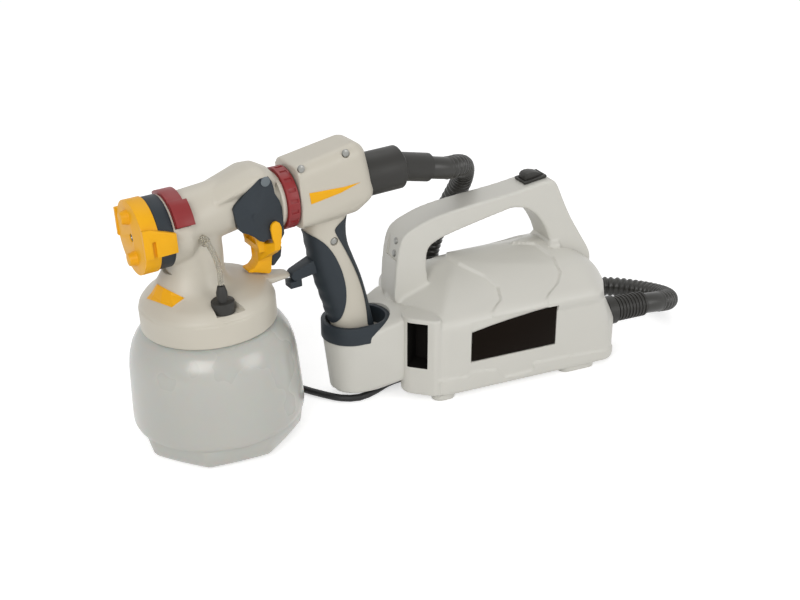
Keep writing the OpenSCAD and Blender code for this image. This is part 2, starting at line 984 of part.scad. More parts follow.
// Neck rings: centre x, height, half depth, half width
neck_rings = [
  [-140, 62, 56.5, 56.5], [-140, 64, 55.5, 55.5], [-140, 70, 50, 50], [-145, 75, 40.5, 39],
  [-151, 80, 31.5, 30], [-149.5, 90, 26.5, 25], [-147, 100, 24.5, 23.5], [-147, 110, 25, 23],
  [-147.5, 124, 25, 22]];
module neck_form() {
  skin([for (r = neck_rings) oval(r[0], r[1], r[2], r[3], 2.1)]);
}
yoke_w = 15.8;        // half width of the space for the trigger's arms
core_r = 10.5;
needle_r = 2;
arm_slot = [[-102, 90], [-102, 150], [-96, 161], [-91, 164.2], [-83, 164.2], [-81.2, 162], [-81.2, 90]];
module spray_body() {
  color(cream)
    in_gun()
      difference() {
        union() {
          neck_form();
          difference() {
            barrel_form(0);
            plate_xz(arm_slot, 2 * yoke_w);
            translate([-126, -40, 90])
              cube([52, 80, 28]);
          }
          on_axis() {
            bar_x(-171, -150, 26);
            bar_x(-171, -157, 29.2);
            bar_x(-157, -147, 29.2, 24);
            bar_x(-110, -79, core_r);
          }
          on_bore() {
            bar_x(-82, -57, 20.5);
            bar_x(-73.6, -70, 24.3);
          }
        }
        on_axis() {
          bar_x(-220, -171, 37);
          ring_x(-169.7, -158.4, 26.1, 24);
          difference() {
            lever_sector(-169.7, -153.8, 40, [for (a = [0:12.2:146.4]) 14.8 + a]);
            bar_x(-180, -156.2, 26);
            bar_x(-157, -140, 28.6);
          }
          bar_x(-200, -60, needle_r + pin_gap);
          bar_x(-168, -164, 6 + seat_gap);
          bar_x(-84.2, -66, 7.2);
          bar_x(-66.5, -50, 12);
          translate([-93, -yoke_w, -2.8])
            cube([11, 2 * yoke_w, 5.6]);
        }
        on_bore()
          bar_x(-62, -50, 16);
        translate([-140, 0, 40])
          cylinder(h = 84, r = 5 + pin_gap);
        translate([pivot_x, 0, pivot_h])
          pin_y(3 + seat_gap, 80);
        vent_nipple_form(seat_gap);
        vent_seat();
      }
}
lid_r = lid_d / 2;
module container_lid() {
  color(cream)
    in_gun()
      difference() {
        union() {
          on_container()
            rotate_extrude($fn = 96)
              polygon([[0, rim_h], [lid_r, rim_h], [lid_r, 59], [lid_r - 1, 61.5], [lid_r - 4, 63],
                [46, 65.5], [38, 68], [0, 68]]);
          hull() {
            translate([-124, 0, 64])
              cube([8, 40, 14], center = true);
            translate([-66, 0, 59.6])
              cube([4, 12, 5], center = true);
          }
        }
        neck_form();
        on_container()
          translate([0, 0, rim_h - 1])
            cylinder(h = 20, r = lid_r - 2.6);
        translate([-140, 0, 40])
          cylinder(h = 84, r = 5 + pin_gap);
        vent_seat();
        translate([vent_x, vent_y, 60])
          cylinder(h = 30, r = 3.2);
      }
}
badge_corners = [[-188.7, 8.5, 70.5], [-179.7, 3.1, 83], [-169, -26.4, 79], [-179.4, -24.5, 73]];
badge_out = unit([cos(197), sin(197), 0.75]);
module lid_badge() {
  color(amber)
    in_gun()
      difference() {
        intersection() {
          translate(0.8 * badge_out)
            neck_form();
          hull()
            for (p = badge_corners, k = [-7, 7])
              translate(p + k * badge_out)
                cube(0.2, center = true);
        }
        neck_form();
      }
}
cheek_w = 22;         // from the middle to a cheek's outer face
cheek_outline = [
  [-91.5, 162.5], [-83.8, 162.5], [-81.2, 157.8], [-79.8, 151.4], [-79.4, 146.9], [-75.7, 139.8],
  [-74.3, 133.8], [-73.9, 124.7], [-73.9, 110], [-76.8, 105.7], [-87.8, 108.6], [-93.1, 107.1],
  [-96.8, 108.7], [-100.9, 113.2], [-105.1, 116.6], [-111.2, 119.7], [-113.9, 123.5], [-115.7, 130.2],
  [-116.4, 135.4], [-117.1, 141.1], [-115.5, 143.8], [-110.8, 147.6], [-105.2, 152.4], [-99.7, 156.6],
  [-94.3, 160.8]];
module trigger_housing() {
  color(slate)
    in_gun()
      difference() {
        union() {
          plate_xz(cheek_outline, 2 * cheek_w);
          translate([-98.7, 0, 131.2])
            pin_y(2.6, 2 * cheek_w + 0.8);
        }
        plate_xz([[-106, 190], [-106, 116.8], [-96, 100], [-60, 100], [-60, 190]], 2 * yoke_w);
        barrel_form(seat_gap);
        on_bore()
          bar_x(-82 - seat_gap, -68, 20.5 + seat_gap);
        translate([pivot_x, 0, pivot_h])
          pin_y(3 + seat_gap, 80);
      }
}
module trigger_pin() {
  color(steel)
    in_gun()
      translate([pivot_x, 0, pivot_h]) {
        pin_y(3, 2 * cheek_w + 1);
        for (s = [-1, 1])
          translate([0, s * (cheek_w + 0.5), 0])
            pin_y(4.2, 0.9);
      }
}
arm_outline = [
  [-90.5, 161.6], [-91.6, 159], [-95, 156], [-99.5, 136], [-99, 122], [-95, 98], [-89, 98], [-89.8, 112],
  [-92.2, 126], [-92.2, 134], [-87.5, 146], [-82.6, 156], [-82.4, 160.4], [-84.6, 162.9], [-88, 163.4]];
ear_outline = [
  [-86.8, 117], [-86, 120.5], [-83.8, 122.8], [-81, 123.2], [-78.6, 121.3], [-77.2, 117.5],
  [-77.2, 113.5], [-78.2, 106.2], [-80, 102.5], [-84, 102.5], [-85.8, 108]];
blade_outline = [
  [-92, 106], [-92, 88], [-94, 82], [-97.5, 78.5], [-102.5, 77.4], [-102.5, 75.8], [-96, 74.2], [-84, 70],
  [-82, 71.5], [-80.6, 82], [-78.5, 93], [-79, 100], [-82, 104]];
module trigger() {
  color(amber)
    in_gun()
      difference() {
        union() {
          for (s = [-1, 1]) {
            translate([0, s * 13.2, 0])
              plate_xz(arm_outline, 3);
            translate([0, s * (cheek_w + 1.5), 0])
              plate_xz(ear_outline, 2.4);
            hull() {
              translate([0, s * (cheek_w + 1.5), 0])
                plate_xz([[-84.5, 104.5], [-78.4, 104.5], [-80, 98], [-85, 98]], 2.4);
              translate([0, s * 17, 0])
                plate_xz([[-89, 102.5], [-79.5, 102.5], [-80, 93], [-88, 93]], 2);
            }
            hull() {
              translate([0, s * 17, 0])
                plate_xz([[-89, 102.5], [-79.5, 102.5], [-80, 93], [-88, 93]], 2);
              translate([0, s * 6, 0])
                plate_xz([[-93, 102.5], [-79.5, 102.5], [-79.5, 86], [-93, 84]], 1);
            }
          }
          plate_xz([[-95, 100.5], [-84, 100.5], [-84, 95], [-95, 95]], 29.4);
          plate_xz(blade_outline, 13);
        }
        translate([pivot_x, 0, pivot_h])
          pin_y(3 + pin_gap, 80);
      }
}
module trigger_backing() {
  color(slate)
    in_gun()
      plate_xz([[-79.5, 83.5], [-77.6, 97], [-71, 97], [-69.5, 90], [-71, 82], [-78, 75], [-80.2, 75.5]], 10);
}

// ---------- needle, spring and nozzle ----------
module needle() {
  color(steel)
    in_gun()
      on_axis() {
        bar_x(-193, -68, needle_r);
        bar_x(-196.8, -193, 0.7, needle_r);
        bar_x(-84, -82.4, 6.4);
        translate([-89.1, 0, 0])
          pin_y(2.4, 29);
      }
}
spring_coils = 6;
module needle_spring() {
  x0 = -81.6;
  x1 = -66.8;
  steps = spring_coils * 8;
  p = [for (i = [0:steps])
    [x0 + (x1 - x0) * i / steps, 5.2 * cos(45 * i), 5.2 * sin(45 * i)]];
  echo(spring_gap = least_gap(p, 6, 1.1));
  color(steel)
    in_gun()
      on_axis()
        tube_along(p, [for (i = p) 0.55], 6);
}
module needle_seal() {
  color([0.9, 0.9, 0.88])
    in_gun()
      on_axis()
        ring_x(-168, -164, 6, needle_r + pin_gap);
}
module fluid_nozzle() {
  color(slate)
    in_gun()
      on_axis()
        difference() {
          union() {
            bar_x(-176, -171 - seat_gap, 12);
            bar_x(-190, -176, 7);
            bar_x(-196.5, -190, 2.6, 7);
          }
          bar_x(-193, -170, needle_r + pin_gap);
          bar_x(-199, -193, 1.1, needle_r + pin_gap);
        }
}
module union_nut() {
  color(slate)
    in_gun()
      on_axis()
        ring_x(-183.6, -171.2, 30, 24.1);
}
module air_cap() {
  cap_r = cap_d / 2;
  color(amber)
    in_gun()
      on_axis() {
        difference() {
          union() {
            bar_x(-197, -184, cap_r);
            bar_x(-184.5, -172.5, 24);
            for (a = [0, 180])
              rotate([a - 12, 0, 0])
                translate([0, 0, 17])
                  bar_x(-203, -190, 5, 8);
          }
          bar_x(-188, -160, 21.5);
          bar_x(-196.2, -188, 3.4, 9.5);
          bar_x(-210, -196, 3.4);
        }
        for (s = [-1, 1])
          difference() {
            hull() {
              translate([-195, s * 31.4, 4])
                cube([6, 3.6, 24], center = true);
              translate([-174.5, s * 33, 1])
                cube([6, 3.4, 16], center = true);
            }
            bar_x(-210, -150, 30.4);
            translate([-190, s * 33, -1])
              cube([3, 8, 14], center = true);
          }
      }
}
module jet_lever_ring() {
  color(dark_red)
    in_gun()
      on_axis()
        difference() {
          union() {
            bar_x(-169.4, -158.7, 26);
            lever_sector(-169.4, -156.5, 32.6, [for (a = [0:6.7:67]) 55 + a]);
            lever_sector(-169.4, -154, 34.5, [for (a = [0:7.6:38]) 122 + a]);
          }
          bar_x(-180, -140, 24 + pin_gap);
          bar_x(-158.5, -140, 28.9);
        }
}
// Sector of a cylinder along X, between angles around the axis
module lever_sector(x0, x1, r, angles) {
  translate([x0, 0, 0])
    rotate([90, 0, 90])
      linear_extrude(x1 - x0)
        polygon(concat([[0, 0]], [for (a = angles) r * [cos(a), sin(a)]]));
}

// ---------- container ----------
body_r = container_d / 2;
container_wall = 1.8;
module container_shape(g) {
  rotate_extrude($fn = 96)
    polygon([[0, 58.5 + 2 * max(0, -g)], [52 + g, 58.5 + 2 * max(0, -g)], [52 + g, 40], [56 + g, 39.4], [61 + g, 34],
      [67.5 + g, 26], [71 + g, 15], [73 + g, -8], [body_r + g, -40], [body_r - 1 + g, ledge_h + 1],
      [69 + g, ledge_h - 1], [0, ledge_h - 1]]);
  hull() {
    translate([0, 0, ledge_h - 1.5])
      rotate([0, 0, 12])
        cylinder(h = 1, r = 73 + g, $fn = 8);
    translate([0, 0, foot_h + 5 - g])
      rotate([0, 0, 12])
        cylinder(h = 1, r = 70.5 + g, $fn = 8);
    translate([0, 0, foot_h - g])
      rotate([0, 0, 12])
        cylinder(h = 1, r = 65 + g, $fn = 8);
  }
}
module container() {
  color(milky)
    in_gun()
      on_container()
        difference() {
          container_shape(0);
          container_shape(-container_wall);
        }
}
module container_seal() {
  color(rubber)
    in_gun()
      on_container()
        translate([0, 0, 58.6])
          difference() {
            cylinder(h = 1.3, r = 52);
            translate([0, 0, -1])
              cylinder(h = 4, r = 47);
          }
}
module suction_tube() {
  p = smooth_path([[-140, 0, 34], [-140, 0, 14], [-143, 0, 0], [-152, 0, -22], [-166, 0, -50]], 12);
  color(milky)
    in_gun()
      difference() {
        union() {
          translate([-140, 0, 30])
            cylinder(h = 92, r = 5);
          tube_along(p, [for (i = p) 5], 12);
        }
        translate([-140, 0, 28])
          cylinder(h = 100, r = 3);
        tube_along([for (i = [0:len(p) - 1]) i == len(p) - 1 ? p[i] + [-1, 0, -2] : p[i]], [for (i = p) 3.2], 12);
      }
}

// ---------- container vent ----------
vent_path = [[-147, -33.6, 124], [-146, -37, 121], [-143.5, -40, 112], [-142.6, -42.6, 101], [-143.5, -44, 90.4]];
module vent_nipple_form(g) {
  translate([-147, -20, 124])
    rotate([90, 0, 0])
      cylinder(h = 10, r = 4.2 + g);
}
module vent_nipple() {
  color(milky)
    in_gun()
      difference() {
        union() {
          vent_nipple_form(0);
          translate([-147, -30, 124])
            rotate([90, 0, 0])
              cylinder(h = 1.5, r = 2.6);
        }
        translate([-147, -10, 124])
          rotate([90, 0, 0])
            cylinder(h = 40, r = 1);
      }
}
module vent_tube() {
  p = smooth_path(vent_path, 4);
  color(milky)
    in_gun()
      difference() {
        tube_along(p, [for (i = p) 2.3], 10);
        tube_along(p, [for (i = p) 1.2], 10);
      }
}
module vent_cap() {
  color(black)
    in_gun()
      translate([vent_x, vent_y, 0])
        difference() {
          union() {
            translate([0, 0, vent_h])
              cylinder(h = 10, r = vent_r);
            translate([0, 0, 76])
              cylinder(h = 8, r = 4.6);
            translate([0, 0, 84])
              cylinder(h = 5.9, r1 = 4.6, r2 = 3);
          }
          translate([0, 0, 60])
            cylinder(h = 40, r = 1.2);
          translate([0, 0, 66])
            cylinder(h = 3, r = 7.5);
        }
}

base_front_shell();
base_back_shell();
base_feet();
base_screws();
gun_holder();
holder_rim();
label_plate();
switch_bezel();
switch_rocker();
switch_body();
motor_stator();
motor_rotor();
motor_shaft();
motor_bearings();
motor_brushes();
fan_impellers();
turbine_housing();
intake_filter();
filter_cover();
outlet_duct();
hose_cuff();
air_hose();
strain_relief();
power_cord();
power_cord_coil();
power_cord_tail();
cord_tie();
mains_plug();
gun_shell_left();
gun_shell_right();
grip_pad();
grip_back_strip();
gun_screws();
hose_connector();
gun_air_tube();
coupling_socket();
gun_badge();
support_arm();
coupling_ring();
spray_body();
container_lid();
lid_badge();
trigger_housing();
trigger_pin();
trigger();
trigger_backing();
needle();
needle_spring();
needle_seal();
fluid_nozzle();
union_nut();
air_cap();
jet_lever_ring();
container();
container_seal();
suction_tube();
vent_tube();
vent_cap();
vent_nipple();
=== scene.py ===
import json
from math import sin, cos, pi, radians, copysign

import bmesh
import bpy
import numpy as np
from mathutils import Matrix, Vector


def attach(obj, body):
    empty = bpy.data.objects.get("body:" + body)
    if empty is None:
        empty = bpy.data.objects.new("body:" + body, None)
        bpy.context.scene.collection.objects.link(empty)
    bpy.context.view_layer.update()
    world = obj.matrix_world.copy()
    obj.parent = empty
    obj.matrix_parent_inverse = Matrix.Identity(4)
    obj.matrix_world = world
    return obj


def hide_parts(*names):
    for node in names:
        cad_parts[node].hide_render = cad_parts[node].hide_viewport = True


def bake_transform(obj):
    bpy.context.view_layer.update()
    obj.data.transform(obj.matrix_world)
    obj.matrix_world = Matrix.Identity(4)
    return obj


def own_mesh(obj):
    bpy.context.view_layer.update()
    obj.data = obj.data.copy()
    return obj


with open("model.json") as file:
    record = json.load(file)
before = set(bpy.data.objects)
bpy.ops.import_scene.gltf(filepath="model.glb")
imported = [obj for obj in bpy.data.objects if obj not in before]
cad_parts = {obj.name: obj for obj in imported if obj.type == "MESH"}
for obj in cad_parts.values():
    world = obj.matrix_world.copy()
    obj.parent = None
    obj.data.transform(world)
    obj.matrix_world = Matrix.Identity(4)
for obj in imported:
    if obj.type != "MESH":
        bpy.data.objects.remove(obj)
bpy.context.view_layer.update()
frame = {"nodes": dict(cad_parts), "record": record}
record = frame["record"]
bodyOf = {node: body for body, nodes in record["behaviour"]["bodies"].items() for node in nodes}
slotOf = {part["node"]: part["material_slot"] for part in record["subparts"]}
scene = bpy.context.scene

# The base's frame in millimetres, and the gun's: x rearwards along the barrel, y to the far side, z up
baseFrame = Matrix.Scale(0.001, 4)
gunFrame = (baseFrame @ Matrix.Translation((-155, -16, 76.5))
            @ Matrix.Rotation(radians(7), 4, "Z") @ Matrix.Rotation(radians(-2.5), 4, "Y"))


# Camera
view = {"azimuth": -24.5, "elevation": 25, "place": (-0.5287, -0.9347, 0.5560), "lens": 54, "sensor": 36}


def makeCamera():
    a, e = radians(view["azimuth"]), radians(view["elevation"])
    back = Vector((sin(a) * cos(e), -cos(a) * cos(e), sin(e)))
    right = Vector((cos(a), sin(a), 0))
    up = back.cross(right)
    data = bpy.data.cameras.new("camera")
    data.lens = view["lens"]
    data.sensor_width = view["sensor"]
    data.clip_start = 0.05
    camera = bpy.data.objects.new("camera", data)
    turn = Matrix((right, up, back)).transposed().to_4x4()
    camera.matrix_world = Matrix.Translation(view["place"]) @ turn
    scene.collection.objects.link(camera)
    scene.camera = camera


makeCamera()
print("camera ready")


# Shader helpers
def mouldedGroup():
    group = bpy.data.node_groups.new("moulded surface", "ShaderNodeTree")
    face = group.interface
    inputs = (("Colour", "NodeSocketColor", (1, 1, 1, 1)), ("Roughness", "NodeSocketFloat", 0.4),
              ("Grain size", "NodeSocketFloat", 900.0), ("Grain depth", "NodeSocketFloat", 0.1),
              ("Tint", "NodeSocketFloat", 0.04))
    for name, kind, value in inputs:
        socket = face.new_socket(name=name, in_out="INPUT", socket_type=kind)
        socket.default_value = value
    for name, kind in (("Colour", "NodeSocketColor"), ("Roughness", "NodeSocketFloat"),
                       ("Normal", "NodeSocketVector")):
        face.new_socket(name=name, in_out="OUTPUT", socket_type=kind)
    nodes, links = group.nodes, group.links
    inlet, outlet = nodes.new("NodeGroupInput"), nodes.new("NodeGroupOutput")
    place = nodes.new("ShaderNodeTexCoord")
    cloud = nodes.new("ShaderNodeTexNoise")
    cloud.inputs["Scale"].default_value = 14
    cloud.inputs["Detail"].default_value = 3
    links.new(place.outputs["Object"], cloud.inputs["Vector"])
    grain = nodes.new("ShaderNodeTexNoise")
    grain.inputs["Detail"].default_value = 2
    links.new(place.outputs["Object"], grain.inputs["Vector"])
    links.new(inlet.outputs["Grain size"], grain.inputs["Scale"])
    shade = nodes.new("ShaderNodeMapRange")
    shade.inputs["From Min"].default_value = 0.3
    shade.inputs["From Max"].default_value = 0.7
    links.new(cloud.outputs["Fac"], shade.inputs["Value"])
    drop = nodes.new("ShaderNodeMath")
    drop.operation = "MULTIPLY"
    links.new(shade.outputs["Result"], drop.inputs[0])
    links.new(inlet.outputs["Tint"], drop.inputs[1])
    tone = nodes.new("ShaderNodeMath")
    tone.operation = "SUBTRACT"
    tone.inputs[0].default_value = 1
    links.new(drop.outputs["Value"], tone.inputs[1])
    toned = nodes.new("ShaderNodeVectorMath")
    toned.operation = "SCALE"
    links.new(inlet.outputs["Colour"], toned.inputs[0])
    links.new(tone.outputs["Value"], toned.inputs["Scale"])
    rough = nodes.new("ShaderNodeMath")
    rough.operation = "MULTIPLY_ADD"
    rough.inputs[1].default_value = 0.12
    links.new(shade.outputs["Result"], rough.inputs[0])
    links.new(inlet.outputs["Roughness"], rough.inputs[2])
    bump = nodes.new("ShaderNodeBump")
    bump.inputs["Distance"].default_value = 0.0002
    links.new(grain.outputs["Fac"], bump.inputs["Height"])
    links.new(inlet.outputs["Grain depth"], bump.inputs["Strength"])
    links.new(toned.outputs["Vector"], outlet.inputs["Colour"])
    links.new(rough.outputs["Value"], outlet.inputs["Roughness"])
    links.new(bump.outputs["Normal"], outlet.inputs["Normal"])
    return group


moulded = mouldedGroup()


def linear(colour):
    shares = (v / 255 for v in colour)
    return tuple(c / 12.92 if c <= 0.04045 else ((c + 0.055) / 1.055) ** 2.4 for c in shares)


def material(name, colour, roughness=0.4, grainSize=900, grainDepth=0.1, tint=0.04, **fixed):
    made = bpy.data.materials.new(name)
    made.use_nodes = True
    nodes, links = made.node_tree.nodes, made.node_tree.links
    shader = nodes["Principled BSDF"]
    group = nodes.new("ShaderNodeGroup")
    group.node_tree = moulded
    group.inputs["Colour"].default_value = linear(colour) + (1,)
    group.inputs["Roughness"].default_value = roughness
    group.inputs["Grain size"].default_value = grainSize
    group.inputs["Grain depth"].default_value = grainDepth
    group.inputs["Tint"].default_value = tint
    links.new(group.outputs["Colour"], shader.inputs["Base Color"])
    links.new(group.outputs["Roughness"], shader.inputs["Roughness"])
    links.new(group.outputs["Normal"], shader.inputs["Normal"])
    for socket, value in fixed.items():
        shader.inputs[socket.replace("_", " ")].default_value = value
    return made


# Colours are screen values from 0 to 255
materials = {
    "shell_white": material("shell white", (205, 203, 195), 0.34, 700, 0.12, 0.03),
    "cream": material("cream", (198, 192, 178), 0.34, 700, 0.12, 0.03),
    "slate": material("slate", (42, 49, 55), 0.42, 1100, 0.25, 0.1, Specular_IOR_Level=0.28),
    "amber": material("amber", (240, 174, 8), 0.38, 800, 0.1, 0.05, Specular_IOR_Level=0.3),
    "dark_red": material("dark red", (134, 24, 27), 0.34, 800, 0.12, 0.08),
    "black_plastic": material("black plastic", (44, 43, 40), 0.38, 900, 0.2, 0.12, Specular_IOR_Level=0.35),
    "label": material("label", (20, 14, 9), 0.4, 500, 0.02, 0.1, Specular_IOR_Level=0.04),
    "screw_steel": material("zinc", (150, 150, 146), 0.32, 2500, 0.2, 0.2, Metallic=0.9),
    "bright_steel": material("steel", (198, 200, 204), 0.22, 2500, 0.15, 0.12, Metallic=1.0),
    "stator": material("laminations", (110, 112, 116), 0.5, 2500, 0.4, 0.2, Metallic=0.6),
    "copper": material("copper wire", (184, 104, 60), 0.35, 2500, 0.4, 0.2, Metallic=0.8),
    "carbon": material("carbon", (36, 36, 36), 0.7, 1500, 0.4, 0.1),
    "impeller": material("pressed aluminium", (200, 202, 206), 0.35, 2000, 0.2, 0.1, Metallic=0.9),
    "filter_foam": material("foam", (128, 128, 118), 0.9, 1300, 1.0, 0.3),
    "cord_pvc": material("cord", (30, 30, 30), 0.4, 1500, 0.1, 0.2, Specular_IOR_Level=0.35),
    "hose": material("hose", (40, 39, 35), 0.26, 900, 0.06, 0.15),
    "clear": material("clear tube", (216, 212, 200), 0.15, 900, 0.02, 0.04, Transmission_Weight=0.75,
                      IOR=1.4),
    "container": material("translucent container", (184, 184, 177), 0.24, 500, 0.05, 0.03,
                          Subsurface_Weight=0.3, Subsurface_Scale=0.02, Coat_Weight=0.3,
                          Coat_Roughness=0.12),
    "seal": material("seal", (50, 50, 48), 0.6, 1200, 0.3, 0.1),
    "white_ptfe": material("white tube", (224, 224, 218), 0.45, 900, 0.1, 0.04),
    "pinGrey": material("pin grey", (104, 112, 116), 0.35, 1500, 0.15, 0.15, Metallic=0.5),
    # painted shade: a near-black colour put on the walls of cut recesses, slots and holes to stand in for the
    # shade inside them
    "dark_inside": material("painted recess shade", (22, 20, 18), 0.8, 900, 0.2, 0.2, Specular_IOR_Level=0.1),
}
print("materials ready")


# Mesh helpers, in millimetres
def newObject(name, mesh):
    made = bpy.data.objects.new(name, mesh)
    scene.collection.objects.link(made)
    return made


def toObject(name, bm, place=baseFrame):
    bmesh.ops.recalc_face_normals(bm, faces=bm.faces)
    mesh = bpy.data.meshes.new(name)
    bm.to_mesh(mesh)
    bm.free()
    mesh.transform(place)
    return newObject(name, mesh)


def settle(piece):
    bpy.context.view_layer.update()
    shape = bpy.data.meshes.new_from_object(piece.evaluated_get(bpy.context.evaluated_depsgraph_get()))
    old = piece.data
    piece.modifiers.clear()
    piece.data = shape
    bpy.data.meshes.remove(old)
    return piece


def withModifier(piece, kind, **settings):
    modifier = piece.modifiers.new(kind.lower(), kind)
    for key, value in settings.items():
        setattr(modifier, key, value)
    return settle(piece)


# Fuses overlapping closed forms into one skin with soft corners.
def moulding(piece, voxel, smoothing=8, factor=0.5):
    withModifier(piece, "REMESH", mode="VOXEL", voxel_size=voxel / 1000, adaptivity=0)
    return withModifier(piece, "SMOOTH", iterations=smoothing, factor=factor)


def cutAway(piece, cutter, inside=None, operation="DIFFERENCE"):
    modifier = piece.modifiers.new("cut", "BOOLEAN")
    modifier.object = cutter
    modifier.operation = operation
    modifier.solver = "EXACT"
    # painted shade: a given material goes on the walls of the cut; every call in this script gives the dark
    # recess shade
    if inside is not None:
        modifier.material_mode = "TRANSFER"
        cutter.data.materials.clear()
        cutter.data.materials.append(inside)
    settle(piece)
    bpy.data.objects.remove(cutter)
    return piece


def softShade(piece, angle=35):
    mesh = piece.data
    mesh.shade_smooth()
    bm = bmesh.new()
    bm.from_mesh(mesh)
    limit = radians(angle)
    for edge in bm.edges:
        edge.smooth = len(edge.link_faces) == 2 and edge.calc_face_angle(0) < limit
    bm.to_mesh(mesh)
    bm.free()
    return piece


# Gives a piece its material, puts it on its body and in the place of its CAD nodes.
def stand(piece, nodes, look=None, slot=None, angle=35, between=None):
    nodes = [nodes] if isinstance(nodes, str) else list(nodes)
    slot = slot or slotOf[nodes[0]]
    softShade(piece, angle)
    if not piece.data.materials:
        piece.data.materials.append(look or materials[slot])
    if between:
        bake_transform(piece)
    else:
        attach(piece, bodyOf[nodes[0]])
    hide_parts(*nodes)
    return piece


def ringPoints(bm, points):
    return [bm.verts.new(p) for p in points]


def skinRings(bm, rings, caps=True, closed=False):
    made = [ringPoints(bm, ring) for ring in rings]
    pairs = list(zip(made, made[1:])) + ([(made[-1], made[0])] if closed else [])
    for a, b in pairs:
        n = len(a)
        for k in range(n):
            bm.faces.new((a[k], a[(k + 1) % n], b[(k + 1) % n], b[k]))
    if caps and not closed:
        bm.faces.new(made[0])
        bm.faces.new(made[-1])
    return bm


# Turns a profile of (radius, height) about an upright axis, or about X where heights run along X.
def lathe(bm, profile, sides=96, centre=(0, 0), axis="Z"):
    rings = []
    for r, h in profile:
        ring = []
        for k in range(sides):
            c, s = r * cos(2 * pi * k / sides), r * sin(2 * pi * k / sides)
            u, v = centre[0] + c, centre[1] + s
            ring.append((u, v, h) if axis == "Z" else (h, u, v))
        rings.append(ring)
    return skinRings(bm, rings, caps=True)


def hullOver(bm, points):
    verts = [bm.verts.new(p) for p in points]
    result = bmesh.ops.convex_hull(bm, input=verts)
    loose = {v for v in result["geom_interior"] + result["geom_unused"] if isinstance(v, bmesh.types.BMVert)}
    bmesh.ops.delete(bm, geom=list(loose), context="VERTS")
    return bm


def ballPoints(c, r, n=24):
    return [(c[0] + r * cos(a) * cos(b), c[1] + r * sin(a) * cos(b), c[2] + r * sin(b))
            for b in (pi * (j / (n // 2) - 0.5) for j in range(n // 2 + 1))
            for a in (2 * pi * k / n for k in range(n))]


def diskPoints(c, r, n=48, axis="Z"):
    turn = [(r * cos(2 * pi * k / n), r * sin(2 * pi * k / n)) for k in range(n)]
    if axis == "Z":
        return [(c[0] + a, c[1] + b, c[2]) for a, b in turn]
    if axis == "X":
        return [(c[0], c[1] + a, c[2] + b) for a, b in turn]
    return [(c[0] + a, c[1], c[2] + b) for a, b in turn]


def rounded(outline, times=2):
    for _ in range(times):
        outline = [p for a, b in zip(outline, outline[1:] + outline[:1])
                   for p in ((0.75 * a[0] + 0.25 * b[0], 0.75 * a[1] + 0.25 * b[1]),
                             (0.25 * a[0] + 0.75 * b[0], 0.25 * a[1] + 0.75 * b[1]))]
    return outline


# An upright plate between y0 and y1 from an outline of (x, z).
def plateXz(bm, outline, y0, y1):
    near = [bm.verts.new((x, y0, z)) for x, z in outline]
    far = [bm.verts.new((x, y1, z)) for x, z in outline]
    n = len(outline)
    for k in range(n):
        bm.faces.new((near[k], near[(k + 1) % n], far[(k + 1) % n], far[k]))
    bm.faces.new(near)
    bm.faces.new(far)
    return bm


def block(bm, low, high):
    corners = [(x, y, z) for x in (low[0], high[0]) for y in (low[1], high[1]) for z in (low[2], high[2])]
    return hullOver(bm, corners)


def rod(bm, a, b, r, r2=None, sides=48):
    a, b = Vector(a), Vector(b)
    ahead = (b - a).normalized()
    side = ahead.cross(Vector((0, 0, 1)) if abs(ahead.z) < 0.9 else Vector((1, 0, 0))).normalized()
    up = ahead.cross(side)
    r2 = r if r2 is None else r2
    ways = [side * cos(2 * pi * k / sides) + up * sin(2 * pi * k / sides) for k in range(sides)]
    return skinRings(bm, [[tuple(c + q * way) for way in ways] for c, q in ((a, r), (b, r2))])


def catmull(points, step, even=1):
    out = []
    count = len(points)
    for i in range(count - 1):
        a, b = Vector(points[max(i - 1, 0)]), Vector(points[i])
        c, d = Vector(points[i + 1]), Vector(points[min(i + 2, count - 1)])
        n = even * max(1, round((c - b).length / step / even))
        for k in range(n):
            t = k / n
            out.append(0.5 * (2 * b + (c - a) * t + (2 * a - 5 * b + 4 * c - d) * t * t
                              + (3 * b - a - 3 * c + d) * t ** 3))
    out.append(Vector(points[-1]))
    return out


def tubeRings(path, radii, sides):
    last = len(path) - 1
    tangents = [(path[min(i + 1, last)] - path[max(i - 1, 0)]).normalized() for i in range(last + 1)]
    across = Vector((0, 0, 1)) if abs(tangents[0].z) < 0.8 else Vector((0, 1, 0))
    side = tangents[0].cross(across).normalized()
    rings = []
    for c, t, r in zip(path, tangents, radii):
        side = (side - side.dot(t) * t).normalized()
        up = t.cross(side)
        rings.append([tuple(c + r * (cos(2 * pi * k / sides) * side + sin(2 * pi * k / sides) * up))
                      for k in range(sides)])
    return rings


# A copy of a sharp-edged CAD node with its corners rounded as moulding leaves them.
def edgeSoftened(node, width=0.5, segments=2, look=None, angle=30):
    piece = newObject(node + "_soft", frame["nodes"][node].data.copy())
    piece.data.materials.clear()
    bm = bmesh.new()
    bm.from_mesh(piece.data)
    bmesh.ops.remove_doubles(bm, verts=bm.verts, dist=1e-6)
    bmesh.ops.dissolve_limit(bm, angle_limit=radians(1.0), verts=bm.verts, edges=bm.edges)
    bm.to_mesh(piece.data)
    bm.free()
    withModifier(piece, "BEVEL", width=width / 1000, segments=segments, limit_method="ANGLE",
                 angle_limit=radians(angle), miter_outer="MITER_ARC", use_clamp_overlap=True)
    return stand(piece, node, look)


